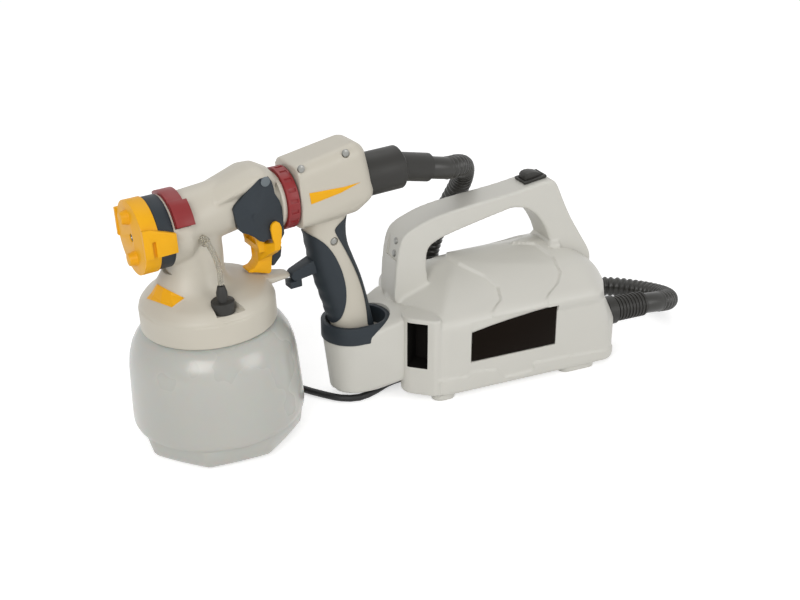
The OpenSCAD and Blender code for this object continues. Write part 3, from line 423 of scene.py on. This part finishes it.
# Repeated details: one part set on every point, all turned alike
def repeatGroup():
    group = bpy.data.node_groups.new("repeated detail", "GeometryNodeTree")
    face = group.interface
    face.new_socket(name="Points", in_out="INPUT", socket_type="NodeSocketGeometry")
    face.new_socket(name="Part", in_out="INPUT", socket_type="NodeSocketObject")
    face.new_socket(name="Turn", in_out="INPUT", socket_type="NodeSocketRotation")
    face.new_socket(name="Material", in_out="INPUT", socket_type="NodeSocketMaterial")
    face.new_socket(name="Geometry", in_out="OUTPUT", socket_type="NodeSocketGeometry")
    nodes, links = group.nodes, group.links
    inlet, outlet = nodes.new("NodeGroupInput"), nodes.new("NodeGroupOutput")
    part = nodes.new("GeometryNodeObjectInfo")
    spread = nodes.new("GeometryNodeInstanceOnPoints")
    whole = nodes.new("GeometryNodeRealizeInstances")
    paint = nodes.new("GeometryNodeSetMaterial")
    links.new(inlet.outputs["Part"], part.inputs["Object"])
    links.new(inlet.outputs["Points"], spread.inputs["Points"])
    links.new(part.outputs["Geometry"], spread.inputs["Instance"])
    links.new(inlet.outputs["Turn"], spread.inputs["Rotation"])
    links.new(spread.outputs["Instances"], whole.inputs["Geometry"])
    links.new(whole.outputs["Geometry"], paint.inputs["Geometry"])
    links.new(inlet.outputs["Material"], paint.inputs["Material"])
    links.new(paint.outputs["Geometry"], outlet.inputs["Geometry"])
    return group


repeatedDetail = repeatGroup()


# Sets a part (in millimetres, about its own origin) on points given in the frame of "place".
def repeated(name, part, points, paint, turn=(0, 0, 0), place=baseFrame):
    mesh = bpy.data.meshes.new(name)
    mesh.from_pydata(points, [], [])
    piece = newObject(name, mesh)
    modifier = piece.modifiers.new("repeat", "NODES")
    modifier.node_group = repeatedDetail
    values = {"Part": part, "Turn": turn, "Material": paint}
    for item in repeatedDetail.interface.items_tree:
        if item.in_out == "INPUT" and item.name in values:
            modifier[item.identifier] = values[item.name]
    settle(piece)
    bpy.data.objects.remove(part)
    piece.data.transform(place)
    return piece


def joined(pieces):
    bm = bmesh.new()
    for piece in pieces:
        bm.from_mesh(piece.data)
    first = pieces[0]
    bm.to_mesh(first.data)
    bm.free()
    for piece in pieces[1:]:
        bpy.data.objects.remove(piece)
    return first


# A domed head with a cross recess, facing +Z from z = 0; the recess walls get painted shade
def screwHead(r, h):
    profile = [(0.01, 0), (r, 0), (r, 0.35 * h), (0.85 * r, 0.8 * h), (0.5 * r, h), (0.01, h)]
    piece = toObject("screw_head", lathe(bmesh.new(), profile, 40), Matrix.Identity(4))
    piece.data.materials.append(materials["screw_steel"])
    bm = bmesh.new()
    long, wide = 0.62 * r, 0.6
    block(bm, (-long, -wide, h - 1), (long, wide, h + 2))
    block(bm, (-wide, -long, h - 1), (wide, long, h + 2))
    # painted shade: the cross recess's walls take the dark recess colour; repeated() later sets one material
    # on the whole head
    return cutAway(piece, toObject("cutter", bm, Matrix.Identity(4)), materials["dark_inside"])


# Mains cord and air hose
cordSizes = {
    "diameter": 6.5,
    "exit": (-112, -22, 5.7),
    "route": [(-98, -22, 5.8), (-114, -22, 5.6), (-128, -24, 4.4), (-142, -30, 3.4), (-160, -35, 3.3),
              (-176, -29, 3.3), (-190, -14, 3.3), (-202, 2, 3.3), (-212, 20, 3.3), (-219, 40, 3.3),
              (-222, 62, 3.6), (-222, 84, 4.4), (-222, 105, 4.6)],
    "tail": [(-222, 105, 25.9), (-221, 120, 25.7), (-216, 136, 20), (-209, 152, 13), (-209, 167, 10.3),
             (-218, 176.4, 10.1), (-226, 178, 10), (-237, 178, 10)],
    "coilAt": (-270, 105),
    "coilRadius": 48,
    "pitch": 7.1,
    "turns": 3,
    "layers": 4,
}


def coilPoints(c, steps=24):
    start = c["diameter"] / 2 + 1.35
    points = []
    for i in range(c["turns"] * c["layers"] * steps + 1):
        t = i / steps
        m = t % (2 * c["turns"])
        inward = m if m < c["turns"] else 2 * c["turns"] - m
        k = round(t / c["turns"])
        d = t - k * c["turns"]
        if k < 1 or k >= c["layers"]:
            layer = int(min(t / c["turns"], c["layers"] - 1))
        elif abs(d) < 0.25:
            layer = k - 0.5 + 2 * d
        else:
            layer = k - 1 if d < 0 else k
        r = c["coilRadius"] - c["pitch"] * inward
        points.append(Vector((c["coilAt"][0] + r * cos(2 * pi * t), c["coilAt"][1] + r * sin(2 * pi * t),
                              start + c["pitch"] * layer)))
    return points


def makeCord():
    c = cordSizes
    route = catmull(c["route"], 8)
    while route[0].x > c["exit"][0]:
        route.pop(0)
    points = [Vector(c["exit"])] + route[:-1] + coilPoints(c)[:-1] + catmull(c["tail"], 8)
    rings = tubeRings(points, [c["diameter"] / 2] * len(points), 12)
    piece = toObject("mains_cord", skinRings(bmesh.new(), rings))
    stand(piece, ["power_cord", "power_cord_coil", "power_cord_tail"], angle=60)
    return piece, points


cord, cordPath = makeCord()
plug = edgeSoftened("mains_plug", 0.8, 3)
tie = edgeSoftened("cord_tie", 0.5)

hoseSizes = {
    "diameter": 21.5,
    "ribPitch": 6.2,
    "ribDepth": 1.9,
    "ringsPerRib": 6,
    "sides": 28,
    "route": [(-82, -7, 208), (-58, -4, 203), (-40, 8, 199), (-24, 28, 188), (-15, 50, 166), (-18, 68, 138),
              (-28, 80, 104), (-32, 86, 74), (-24, 90, 44), (-4, 93, 22), (30, 94, 12.5), (70, 92, 11.5),
              (110, 88, 11.5), (145, 80, 11.5), (180, 63, 12), (200, 36, 15), (205, 6, 21), (194, -20, 29),
              (171, -34, 37), (146, -36, 40)],
}


def makeHose():
    h = hoseSizes
    path = catmull(h["route"], h["ribPitch"] / h["ringsPerRib"], h["ringsPerRib"])
    last = len(path) - 1
    radii = []
    for i in range(len(path)):
        wave = 0.5 - 0.5 * cos(2 * pi * i / h["ringsPerRib"])
        plain = i < 4 * h["ringsPerRib"] or i > last - 4 * h["ringsPerRib"]
        radii.append(h["diameter"] / 2 - (0.5 if plain else h["ribDepth"] * wave ** 1.6))
    rings = tubeRings(path, radii, h["sides"])
    piece = toObject("air_hose_ribbed", skinRings(bmesh.new(), rings))
    stand(piece, "air_hose", angle=80, between=("base", "gun", (-0.032, 0.086, 0.05), (-0.05, 0, 0.205)))
    return piece, path


cuff = {"x": (104, 150), "collar": 114, "radius": 11.7, "collarRadius": 14.2, "bore": 10.9, "port": (-36, 40),
        "ribs": 9, "firstRib": 116, "ribPitch": 3.8, "ribHeight": 0.9}


def makeCuff():
    (x0, x1), r = cuff["x"], cuff["radius"]
    profile = [(cuff["bore"], x0), (cuff["collarRadius"], x0), (cuff["collarRadius"], cuff["collar"]),
               (r, cuff["collar"] + 0.6), (r, x1), (cuff["bore"], x1)]
    sleeve = toObject("cuff_sleeve", lathe(bmesh.new(), profile, 64, cuff["port"], "X"))
    crest = r + cuff["ribHeight"]
    profile = [(r - 0.4, 0), (crest, 0.4), (crest, 1.8), (r - 0.4, 2.2)]
    rib = toObject("rib", lathe(bmesh.new(), profile, 48, (0, 0), "X"), Matrix.Identity(4))
    places = [(cuff["firstRib"] + cuff["ribPitch"] * k, *cuff["port"]) for k in range(cuff["ribs"])]
    ribs = repeated("cuff_ribs", rib, places, materials["black_plastic"])
    stand(joined([sleeve, ribs]), "hose_cuff", angle=40)


makeCuff()
hose, hosePath = makeHose()
hosePath = hosePath[::-1]
print("cord and hose ready")


# Base shells
base = {
    "halfWidth": 70,
    "lift": 6.5,
    "crown": 112,
    "handleHalf": 17,
    "voxel": 1.5,
    "arcStep": 2.3,
    # Side view of the handle
    "outer": [(-116, 78), (-115.5, 100), (-114, 120), (-111, 140), (-106, 149), (-96, 155), (-73, 163.5),
              (-34, 168.5), (5.6, 173.1), (30, 177.8), (44, 180.3), (50, 179.5), (54, 175), (58, 166),
              (70, 140.6), (86.4, 114.6), (95, 101), (97, 92), (97, 60), (90, 45), (62, 70)],
    "inner": [(54, 100), (50, 116), (43, 133), (33, 147), (22, 155), (13, 157.5), (4, 158), (-6, 155.5),
              (-20, 152.5), (-30, 150), (-51, 145), (-72, 139), (-80, 134), (-83, 128), (-83, 113),
              (-80, 78)],
    # Where the roof steps up: distance from the middle and place along the base
    "arcs": [([0, 13, 31, 45, 58, 66], [-54, -48, -30, -23, -27, -40]),
             ([0, 8, 28, 46, 55, 66], [14, 36, 45, 43, 35, 16])],
    # The raised skirt of the long faces: place along the base and height of its edge
    "skirt": ([-100, -66, -62, -35, -27, 4.7, 5.3, 37, 90], [24, 22, 26, 22.5, 12, 13, 21, 20, 17]),
    "skirtStep": 1.6,
    "screws": [(-78, 65, 28), (84, 62, 18), (-99, 12, 112), (69, 12, 117), (-28, 12, 160)],
    "postScrews": [(1.6, 0, -6), (1.6, 0, 6)],
}
frontPost = baseFrame @ Matrix.Translation((-111.8, -6, 135)) @ Matrix.Rotation(radians(8.5), 4, "Y")
pocketPlace = baseFrame @ Matrix.Translation((-111.25, -59.5, 35)) @ Matrix.Rotation(radians(44), 4, "Z")


def bodyPoints():
    w, low = base["halfWidth"], base["lift"]
    points = []
    for s in (-1, 1):
        for z in (low, 70):
            points += diskPoints((-86, s * (w - 13), z), 13, 32)
        points += ballPoints((-86, s * (w - 13), 70), 13)
        points += ballPoints((-34, s * (w - 16), 70), 16, 32)
        points += ballPoints((66, s * (w - 13), 73), 13, 32)
        points += ballPoints((74, s * (w - 18), 62), 17, 32)
        points += ballPoints((60, s * (w - 46), 64), 38, 40)
        points += diskPoints((84, s * (w - 15), 30), 15, 40) + diskPoints((84, s * (w - 15), low), 15, 40)
        points += diskPoints((70, s * (w - 43), 39), 43, 64) + diskPoints((70, s * (w - 43), low), 43, 64)
    for z in (low, 75):
        points += diskPoints((-104, 0, z), 16, 40)
    points += ballPoints((-104, 0, 75), 16)
    for x in (-46, 50):
        points += ballPoints((x, 0, base["crown"] - 30), 30, 32)
    return points


def makeBaseShells():
    bm = hullOver(bmesh.new(), bodyPoints())
    outline = rounded(base["outer"] + base["inner"], 2)
    plateXz(bm, outline, -base["handleHalf"], base["handleHalf"])
    corner = []                                     # the near front corner, beside the holder
    for z in (base["lift"], 84):
        corner += diskPoints((-107, -45, z), 14, 48) + diskPoints((-97, -64.5, z), 5.5, 32)
    hullOver(bm, corner)
    whole = toObject("base_shells", bm)
    whole.data.materials.append(materials["shell_white"])
    moulding(whole, base["voxel"], 9)
    mesh = whole.data
    count = len(mesh.vertices)
    co = np.zeros(count * 3)
    no = np.zeros(count * 3)
    mesh.vertices.foreach_get("co", co)
    mesh.vertices.foreach_get("normal", no)
    co, no = co.reshape(-1, 3) * 1000, no.reshape(-1, 3)
    x, y, z = co.T
    upper = np.clip((z - 70) / 8, 0, 1) * np.clip((118 - z) / 4, 0, 1) * np.clip((x + 100) / 8, 0, 1)
    onHandle = (np.abs(y) < base["handleHalf"] + 1.5) & ((x > 58) | (x < -80))
    lift = np.zeros(count)
    for across, along in base["arcs"]:
        beyond = x - np.interp(np.abs(y), across, along)
        lift += base["arcStep"] * np.clip(beyond / 1.8 + 0.5, 0, 1)
    lift *= upper * ~onHandle
    below = np.interp(x, *base["skirt"]) - z
    onLongFace = (np.abs(y) > 60) & (np.abs(no[:, 1]) > 0.6) & (x > -96)
    lift += base["skirtStep"] * np.clip(below / 1.6 + 0.5, 0, 1) * onLongFace
    co += no * lift[:, None]
    mesh.vertices.foreach_set("co", (co / 1000).ravel())
    bm = bmesh.new()
    block(bm, (-62.8, -75, 35.2), (27.8, -68.9, 77))
    cutAway(whole, toObject("cutter", bm))
    # painted shade: the walls of the hose port's hole take the dark recess colour
    bm = bmesh.new()
    rod(bm, (60, -36, 40), (160, -36, 40), 14.5)
    cutAway(whole, toObject("cutter", bm), materials["dark_inside"])
    # painted shade: the far side's vent slots and their sunk panel get dark walls
    bm = bmesh.new()
    for i in range(7):
        x0 = -76 + 8 * i
        hullOver(bm, [(x0 + 2 + 2 * cos(a), y0, zc + 2 * sin(a)) for a in (pi * k / 8 for k in range(16))
                      for zc in (36, 70) for y0 in (60, 80)])
    block(bm, (-2, 60, 34), (62, 80, 72))
    cutAway(whole, toObject("cutter", bm), materials["dark_inside"])
    bm = bmesh.new()
    block(bm, (-6, -9, -11), (1.6, 14, 11))
    cutAway(whole, toObject("cutter", bm, frontPost))
    # painted shade: the pocket beside the holder gets dark walls for the shade inside it
    bm = bmesh.new()
    block(bm, (-10, -8.5, 0), (22, 11, 45))
    cutAway(whole, toObject("cutter", bm, pocketPlace), materials["dark_inside"])
    # painted shade: the screw counterbores get dark walls
    bm = bmesh.new()
    for x, y, z in base["screws"]:
        rod(bm, (x, y, z), (x, 100, z), 4.2, sides=32)
    cutAway(whole, toObject("cutter", bm), materials["dark_inside"])
    for half, cutLow, cutHigh in (("front", 0.0, 90), ("back", -90, -0.0)):
        piece = newObject("base_shell_" + half, whole.data.copy())
        bm = bmesh.new()
        block(bm, (-200, cutLow, -20), (200, cutHigh, 260))
        cutAway(piece, toObject("cutter", bm))
        stand(piece, "base_" + half + "_shell", angle=40)
    bpy.data.objects.remove(whole)


def makeBaseScrews():
    far = repeated("base_screw_heads", screwHead(3.9, 2), base["screws"], materials["screw_steel"],
                   (radians(-90), 0, 0))
    post = repeated("post_screw_heads", screwHead(3.3, 1.5), base["postScrews"], materials["screw_steel"],
                    (0, radians(-90), 0), frontPost)
    stand(joined([far, post]), "base_screws", angle=40)


makeBaseShells()
makeBaseScrews()
print("base shells ready")


# Gun holder
holder = {"length": 62, "width": 52, "at": (-155, -16), "voxel": 1.6}


def stadium(g, z, n=32):
    half, r = (holder["length"] - holder["width"]) / 2, holder["width"] / 2 + g
    points = []
    for k in range(n):
        a = 2 * pi * (k + 0.5) / n
        x = holder["at"][0] + copysign(half, cos(a)) + r * cos(a)
        points.append((x, holder["at"][1] + r * sin(a), z))
    return points


def makeHolder():
    bm = bmesh.new()
    points = stadium(-0.5, 61.2) + stadium(-0.5, 57) + [(x + 2, y, z) for x, y, z in stadium(-4, 9)]
    for y in (-42, 22):
        for z in (23, 83):
            points += diskPoints((-108, y, z), 8, 32)
    hullOver(bm, points)
    piece = toObject("gun_holder_shell", bm)
    moulding(piece, holder["voxel"], 6)
    bm = bmesh.new()
    skinRings(bm, [stadium(-5, 46), stadium(-5, 90)])
    hullOver(bm, stadium(1.25, 61) + stadium(1.25, 100))
    cutAway(piece, toObject("cutter", bm))
    bm = bmesh.new()
    rod(bm, (-200, -22, 5.8), (-84, -22, 5.8), 5.5)
    cutAway(piece, toObject("cutter", bm))
    bm = bmesh.new()
    block(bm, (-14, -9.5, -1), (30, 12, 46))
    cutAway(piece, toObject("cutter", bm, pocketPlace))
    stand(piece, "gun_holder", angle=40)


makeHolder()
print("holder ready")


# Gun shells
grip = {
    "rings": [(0, -30, 17, 14.5), (-2, -14, 18.5, 15.5), (-7, 8, 19.5, 16.5), (-11, 26, 20, 16.8),
              (-16, 46, 20.3, 16.5), (-21, 64, 19.4, 15.8), (-24.5, 80, 18, 15), (-26, 96, 18.8, 15),
              (-26, 112, 22, 16)],
    "pad": [(-60, 106), (-48, 99), (-36, 91), (-27, 79), (-20, 62), (-16.5, 44), (-17, 28), (-21, 13),
            (-27, 2), (-30, -10), (-60, -10)],
    "strip": [(30, 106), (-10, 106), (-22.5, 100), (-23, 95), (-14, 78), (-5, 57), (2, 34), (4.5, 12),
              (4, -10), (30, -10)],
    "screws": [(-54, 162.5, -21.5), (-11, 166.5, -20), (-24, 87, -12.5)],
}


def gripRings(g=0.0, sides=72, ribs=0.0, squareness=2.4):
    fine = catmull([Vector((r[0], r[1], r[2])) for r in grip["rings"]], 4)
    widths = catmull([Vector((r[0], r[1], r[3])) for r in grip["rings"]], 4)
    rings = []
    for f, w in zip(fine, widths):
        ring = []
        for k in range(sides):
            c, s = cos(2 * pi * k / sides), sin(2 * pi * k / sides)
            u = copysign(abs(c) ** (2 / squareness), c)
            v = copysign(abs(s) ** (2 / squareness), s)
            swell = g + ribs * max(0, -c) * cos(2 * pi * f.y / 14)
            ring.append((f.x + (f.z + swell) * u, (w.z + g) * v, f.y))
        rings.append(ring)
    return rings


def housingPoints():
    points = []
    for s in (-1, 1):
        for x in (-57, -48):
            points += diskPoints((x, s * 14, 118), 10.5, 32, "X")
            points += diskPoints((x, s * 13, 152.5), 10.5, 32, "X")
        points += ballPoints((-1, s * 11, 160), 12)
        points += ballPoints((5, s * 12, 127), 12)
        points += ballPoints((-4, s * 11, 120), 11.5)
    return points


def makeGunShells():
    bm = hullOver(bmesh.new(), housingPoints())
    skinRings(bm, gripRings())
    whole = toObject("gun_shells", bm, gunFrame)
    moulding(whole, 1.3, 6)
    bm = bmesh.new()
    rod(bm, (-70, 0, 133), (-52, 0, 133), 22.1, sides=72)
    rod(bm, (-5, 0, 135), (40, 0, 135), 19.8)
    for x, z, y in grip["screws"]:
        rod(bm, (x, y - 12, z), (x, y + 0.2, z), 3.9, sides=32)
    cutAway(whole, toObject("cutter", bm, gunFrame))
    for half, low, high in (("left", 0.0, 60), ("right", -60, -0.0)):
        piece = newObject("gun_shell_skin_" + half, whole.data.copy())
        bm = bmesh.new()
        block(bm, (-120, low, -60), (80, high, 220))
        cutAway(piece, toObject("cutter", bm, gunFrame))
        stand(piece, "gun_shell_" + half, angle=40)
    bpy.data.objects.remove(whole)


def makeGripInlay(node, outline, proud, ribs=0.0):
    piece = toObject(node + "_soft", skinRings(bmesh.new(), gripRings(proud, 96, ribs)), gunFrame)
    bm = plateXz(bmesh.new(), rounded(outline, 2), -40, 40)
    cutAway(piece, toObject("cutter", bm, gunFrame), operation="INTERSECT")
    stand(piece, node, angle=40)


def makeGunScrews():
    heads = repeated("gun_screw_heads", screwHead(3.4, 2), [(x, y, z) for x, z, y in grip["screws"]],
                     materials["screw_steel"], (radians(90), 0, 0), gunFrame)
    stand(heads, "gun_screws", angle=40)


makeGunShells()
makeGunScrews()
makeGripInlay("grip_pad", grip["pad"], 0.8, 0.45)
makeGripInlay("grip_back_strip", grip["strip"], 0.6)
print("gun shells ready")


# Spray body and lid
spray = {
    "voxel": 1.2,
    "neck": [(-140, 58, 56.5, 56.5), (-140, 62, 56.3, 56.3), (-140, 64, 55.2, 55.2), (-140, 70, 50, 50),
             (-145, 75, 40.5, 39), (-151, 80, 31.5, 30), (-149.5, 90, 26.5, 25), (-147, 100, 24.5, 23.5),
             (-147, 110, 25, 23), (-147.5, 124, 25, 22)],
    # x, height, radius and flattening of the barrel's rings
    "barrel": [(-158, 133, 25.5, 1), (-149, 133, 25.5, 1), (-119, 138, 24.5, 0.79), (-86, 145, 24.5, 0.78),
               (-75, 145, 18, 0.9)],
    # x, ridge, edge and half width of the roof over the trigger's pivot
    "roof": [(-130, 159.5, 150, 20.5), (-118, 162.8, 154.5, 22), (-95, 169.3, 163.5, 22),
             (-86, 169.3, 163, 21.5), (-79.5, 165.6, 160, 19.5), (-74.5, 162, 156, 17)],
    "armSlot": [(-102, 90), (-102, 150), (-96, 161), (-91, 164.2), (-83, 164.2), (-81.2, 162), (-81.2, 90)],
    "leverSweep": (14.8, 161.2),
}


def ovalRing(cx, z, a, b, p=2.1, n=72):
    ring = []
    for k in range(n):
        c, s = cos(2 * pi * k / n), sin(2 * pi * k / n)
        ring.append((cx + a * copysign(abs(c) ** (2 / p), c), b * copysign(abs(s) ** (2 / p), s), z))
    return ring


# A block round the spray axis between two angles, radii and places along X
def sector(bm, x0, x1, inner, outer, start, end, steps=24):
    angles = [radians(start + (end - start) * k / steps) for k in range(steps + 1)]
    edge = [(outer * cos(a), outer * sin(a)) for a in angles]
    edge += [(inner * cos(a), inner * sin(a)) for a in reversed(angles)]
    near = [bm.verts.new((x0, y, 130 + z)) for y, z in edge]
    far = [bm.verts.new((x1, y, 130 + z)) for y, z in edge]
    n = len(edge)
    for k in range(n):
        bm.faces.new((near[k], near[(k + 1) % n], far[(k + 1) % n], far[k]))
    bm.faces.new(near)
    bm.faces.new(far)
    return bm


# Room for the vent's cap on the cone, open towards the near side
def ventSeat(bm):
    points = []
    for z in (66.6, 92):
        points += diskPoints((-143.5, -44, z), 9.7) + diskPoints((-139.5, -58, z), 13)
    return hullOver(bm, points)


def makeSprayBody():
    bm = bmesh.new()
    knots = spray["neck"]
    fine = catmull([Vector((r[0], r[1], r[2])) for r in knots], 3)
    wide = catmull([Vector((r[0], r[1], r[3])) for r in knots], 3)
    skinRings(bm, [ovalRing(f.x, f.y, f.z, w.z) for f, w in zip(fine, wide)])
    rings = [[(px, py * flat, pz) for px, py, pz in diskPoints((x, 0, z), r, 64, "X")]
             for x, z, r, flat in spray["barrel"]]
    hullOver(bm, sum(rings[:3], []))
    hullOver(bm, sum(rings[2:], []))
    points = []
    for x, ridge, edge, half in spray["roof"]:
        for s in (-1, 1):
            points += [(x, s * half, edge), (x, s * half, edge - 2), (x, s * (half - 3), edge + 1.8),
                       (x, s * 9, ridge - 0.9), (x, s * (half - 4), edge - 6)]
        points.append((x, 0, ridge))
    hullOver(bm, points)
    rod(bm, (-173, 0, 130), (-157, 0, 130), 29.3, sides=96)
    rod(bm, (-157, 0, 130), (-146, 0, 130), 29.3, 24, sides=96)
    piece = toObject("spray_body_shell", bm, gunFrame)
    piece.data.materials.append(materials["cream"])
    moulding(piece, spray["voxel"], 7)
    # painted shade: the arm slot under the roof gets the dark recess colour on its walls
    bm = bmesh.new()
    plateXz(bm, spray["armSlot"], -15.8, 15.8)
    cutAway(piece, toObject("cutter", bm, gunFrame), materials["dark_inside"])
    bm = bmesh.new()
    block(bm, (-126, -40, 90), (-60, 40, 117.5))
    cutAway(piece, toObject("cutter", bm, gunFrame))
    bm = bmesh.new()
    rod(bm, (-230, 0, 130), (-171, 0, 130), 37, sides=96)
    cutAway(piece, toObject("cutter", bm, gunFrame))
    start, end = spray["leverSweep"]
    for x0, x1, inner in ((-169.7, -156.2, 25.6), (-157.5, -153.8, 29)):
        cutAway(piece, toObject("cutter", sector(bmesh.new(), x0, x1, inner, 40, start, end), gunFrame))
    cutAway(piece, toObject("cutter", ventSeat(bmesh.new()), gunFrame))
    stand(piece, "spray_body", angle=40)
    bm = bmesh.new()
    for x0, x1, r, z in ((-110, -79, 10.5, 130), (-82, -57, 20.5, 133), (-73.6, -70, 24.3, 133)):
        rod(bm, (x0, 0, z), (x1, 0, z), r, sides=72)
    core = toObject("spray_body_core", bm, gunFrame)
    withModifier(core, "BEVEL", width=0.0005, segments=2, limit_method="ANGLE", angle_limit=radians(40))
    core.data.materials.append(materials["cream"])
    softShade(core)
    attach(core, "gun")


lidSizes = {"radius": 57.5, "x": -140}


def makeLid():
    r = lidSizes["radius"]
    profile = [(0, 41), (r - 1, 41), (r, 42), (r, 59), (r - 0.4, 60.6), (r - 1.4, 62), (r - 3, 63),
               (50, 64), (0, 64.5)]
    piece = toObject("container_lid_shell", lathe(bmesh.new(), profile, 128, (lidSizes["x"], 0)), gunFrame)
    stand(piece, "container_lid", angle=40)
    bm = bmesh.new()
    rings = []
    for x, low, high, half in ((-136, 50, 80, 26), (-124, 58, 78, 21), (-112, 59, 75, 18), (-98, 60, 72, 15),
                               (-84, 60.5, 69, 12), (-72, 60.5, 66.5, 9), (-63, 60.5, 65, 7)):
        rings.append([(x, half * copysign(abs(cos(a)) ** 0.7, cos(a)),
                       (low + high) / 2 + (high - low) / 2 * copysign(abs(sin(a)) ** 0.7, sin(a)))
                      for a in (2 * pi * k / 40 for k in range(40))])
    skinRings(bm, rings)
    shelf = toObject("container_lid_shelf", bm, gunFrame)
    withModifier(shelf, "SUBSURF", levels=1)
    shelf.data.materials.append(materials["cream"])
    softShade(shelf, 50)
    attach(shelf, "gun")


def makeContainer():
    bm = bmesh.new()
    profile = [(50, 58.4), (52, 58.4), (52, 43), (53.5, 40.8), (57, 39), (60.8, 36), (64.2, 31.5),
               (67.5, 25.5), (70.2, 17), (71.8, 7), (72.8, -8), (73.8, -25), (74.5, -40), (74.3, -43),
               (73.4, -45.4), (71.8, -46.6)]
    sides = 128
    rings = []
    turns = [2 * pi * k / sides for k in range(sides)]
    for r, h in profile:
        rings.append([(-140 + r * cos(a), r * sin(a), h) for a in turns])
    corners = 8                                     # the foot has flat sides with soft corners
    foot = [(72.2, -47.6), (72.6, -49.5), (71.6, -55), (70.2, -61.5), (67.8, -65), (64.3, -67.2)]
    for r, h in foot:
        ring = []
        for a in turns:
            local = ((a - radians(12)) % (2 * pi / corners)) - pi / corners
            flat = r * cos(pi / corners) / cos(local)
            q = 0.82 * flat + 0.18 * r
            ring.append((-140 + q * cos(a), q * sin(a), h))
        rings.append(ring)
    skinRings(bm, rings)
    piece = toObject("container_bottle", bm, gunFrame)
    stand(piece, "container", angle=32)


makeSprayBody()
makeLid()
makeContainer()
print("spray body, lid and container ready")


def makeSpring():
    bm = bmesh.new()
    bm.from_mesh(frame["nodes"]["needle_spring"].data)
    bmesh.ops.remove_doubles(bm, verts=bm.verts, dist=1e-6)
    piece = toObject("needle_spring_coil", bm, Matrix.Identity(4))
    stand(piece, "needle_spring", angle=60)
    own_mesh(piece)


makeSpring()


# Pieces whose cad shape only needs softer edges
softened = {
    "holder_rim": 0.9, "switch_bezel": 0.5, "switch_rocker": 0.7, "base_feet": 1.0, "filter_cover": 0.5,
    "strain_relief": 0.4, "hose_connector": 1.2, "coupling_socket": 0.5, "support_arm": 0.8,
    "coupling_ring": 0.7, "trigger_housing": 1.6, "trigger": 0.9, "trigger_backing": 0.8, "trigger_pin": 0.5,
    "union_nut": 0.8, "air_cap": 1.2, "jet_lever_ring": 1.2, "vent_cap": 0.5, "fluid_nozzle": 0.3,
    "label_plate": 0.25, "gun_badge": 0.1,
}
looks = {"trigger_pin": materials["pinGrey"]}
for node, width in softened.items():
    edgeSoftened(node, width, look=looks.get(node))
for node, piece in frame["nodes"].items():
    if not piece.hide_render:
        piece.data.materials.clear()
        piece.data.materials.append(materials[slotOf[node]])
        softShade(piece, 30)
print("softened pieces ready")


# Floor and light
studio = {
    "sky": 0.42,
    "floorShade": 0.82,
    "floorGlow": 0.55,
    "lamps": {"key": ((-1.5, -1.7, 1.35), 1.3, 25), "fill": ((1.2, -1.9, 1.0), 1.2, 13),
              "top": ((0.2, 0.7, 2.2), 1.5, 9)},
}


# A strength of 1 for what the camera, metal and glass see, and a lower one for what lights the object.
def seenWhite(nodes, links, plain):
    path = nodes.new("ShaderNodeLightPath")
    either = nodes.new("ShaderNodeMath")
    either.operation = "MAXIMUM"
    links.new(path.outputs["Is Camera Ray"], either.inputs[0])
    links.new(path.outputs["Is Glossy Ray"], either.inputs[1])
    anySeen = nodes.new("ShaderNodeMath")
    anySeen.operation = "MAXIMUM"
    links.new(either.outputs["Value"], anySeen.inputs[0])
    links.new(path.outputs["Is Transmission Ray"], anySeen.inputs[1])
    strength = nodes.new("ShaderNodeMapRange")
    strength.inputs["To Min"].default_value = plain[0]
    strength.inputs["To Max"].default_value = plain[1]
    links.new(anySeen.outputs["Value"], strength.inputs["Value"])
    return strength.outputs["Result"]


def makeStage():
    bm = bmesh.new()
    block(bm, (-6000, -6000, -12), (6000, 6000, -0.2))
    floor = toObject("floor", bm)
    paint = bpy.data.materials.new("floor")
    paint.use_nodes = True
    nodes, links = paint.node_tree.nodes, paint.node_tree.links
    shader = nodes["Principled BSDF"]
    shade = studio["floorShade"]
    shader.inputs["Base Color"].default_value = (shade, shade, shade, 1)
    shader.inputs["Roughness"].default_value = 0.8
    shader.inputs["Specular IOR Level"].default_value = 0.2
    shader.inputs["Emission Color"].default_value = (1, 1, 1, 1)
    links.new(seenWhite(nodes, links, (0, studio["floorGlow"])), shader.inputs["Emission Strength"])
    floor.data.materials.append(paint)
    world = bpy.data.worlds.new("studio")
    scene.world = world
    world.use_nodes = True
    nodes, links = world.node_tree.nodes, world.node_tree.links
    sky = nodes["Background"]
    sky.inputs["Color"].default_value = (1, 1, 1, 1)
    links.new(seenWhite(nodes, links, (studio["sky"], 1)), sky.inputs["Strength"])
    for name, (place, size, power) in studio["lamps"].items():
        data = bpy.data.lights.new(name, "AREA")
        data.size = size
        data.energy = power
        lamp = bpy.data.objects.new(name, data)
        lamp.location = place
        lamp.rotation_euler = (Vector((-0.1, 0, 0.1)) - Vector(place)).to_track_quat("-Z", "Y").to_euler()
        scene.collection.objects.link(lamp)
    scene.view_settings.view_transform = "Standard"


makeStage()
print("stage ready")
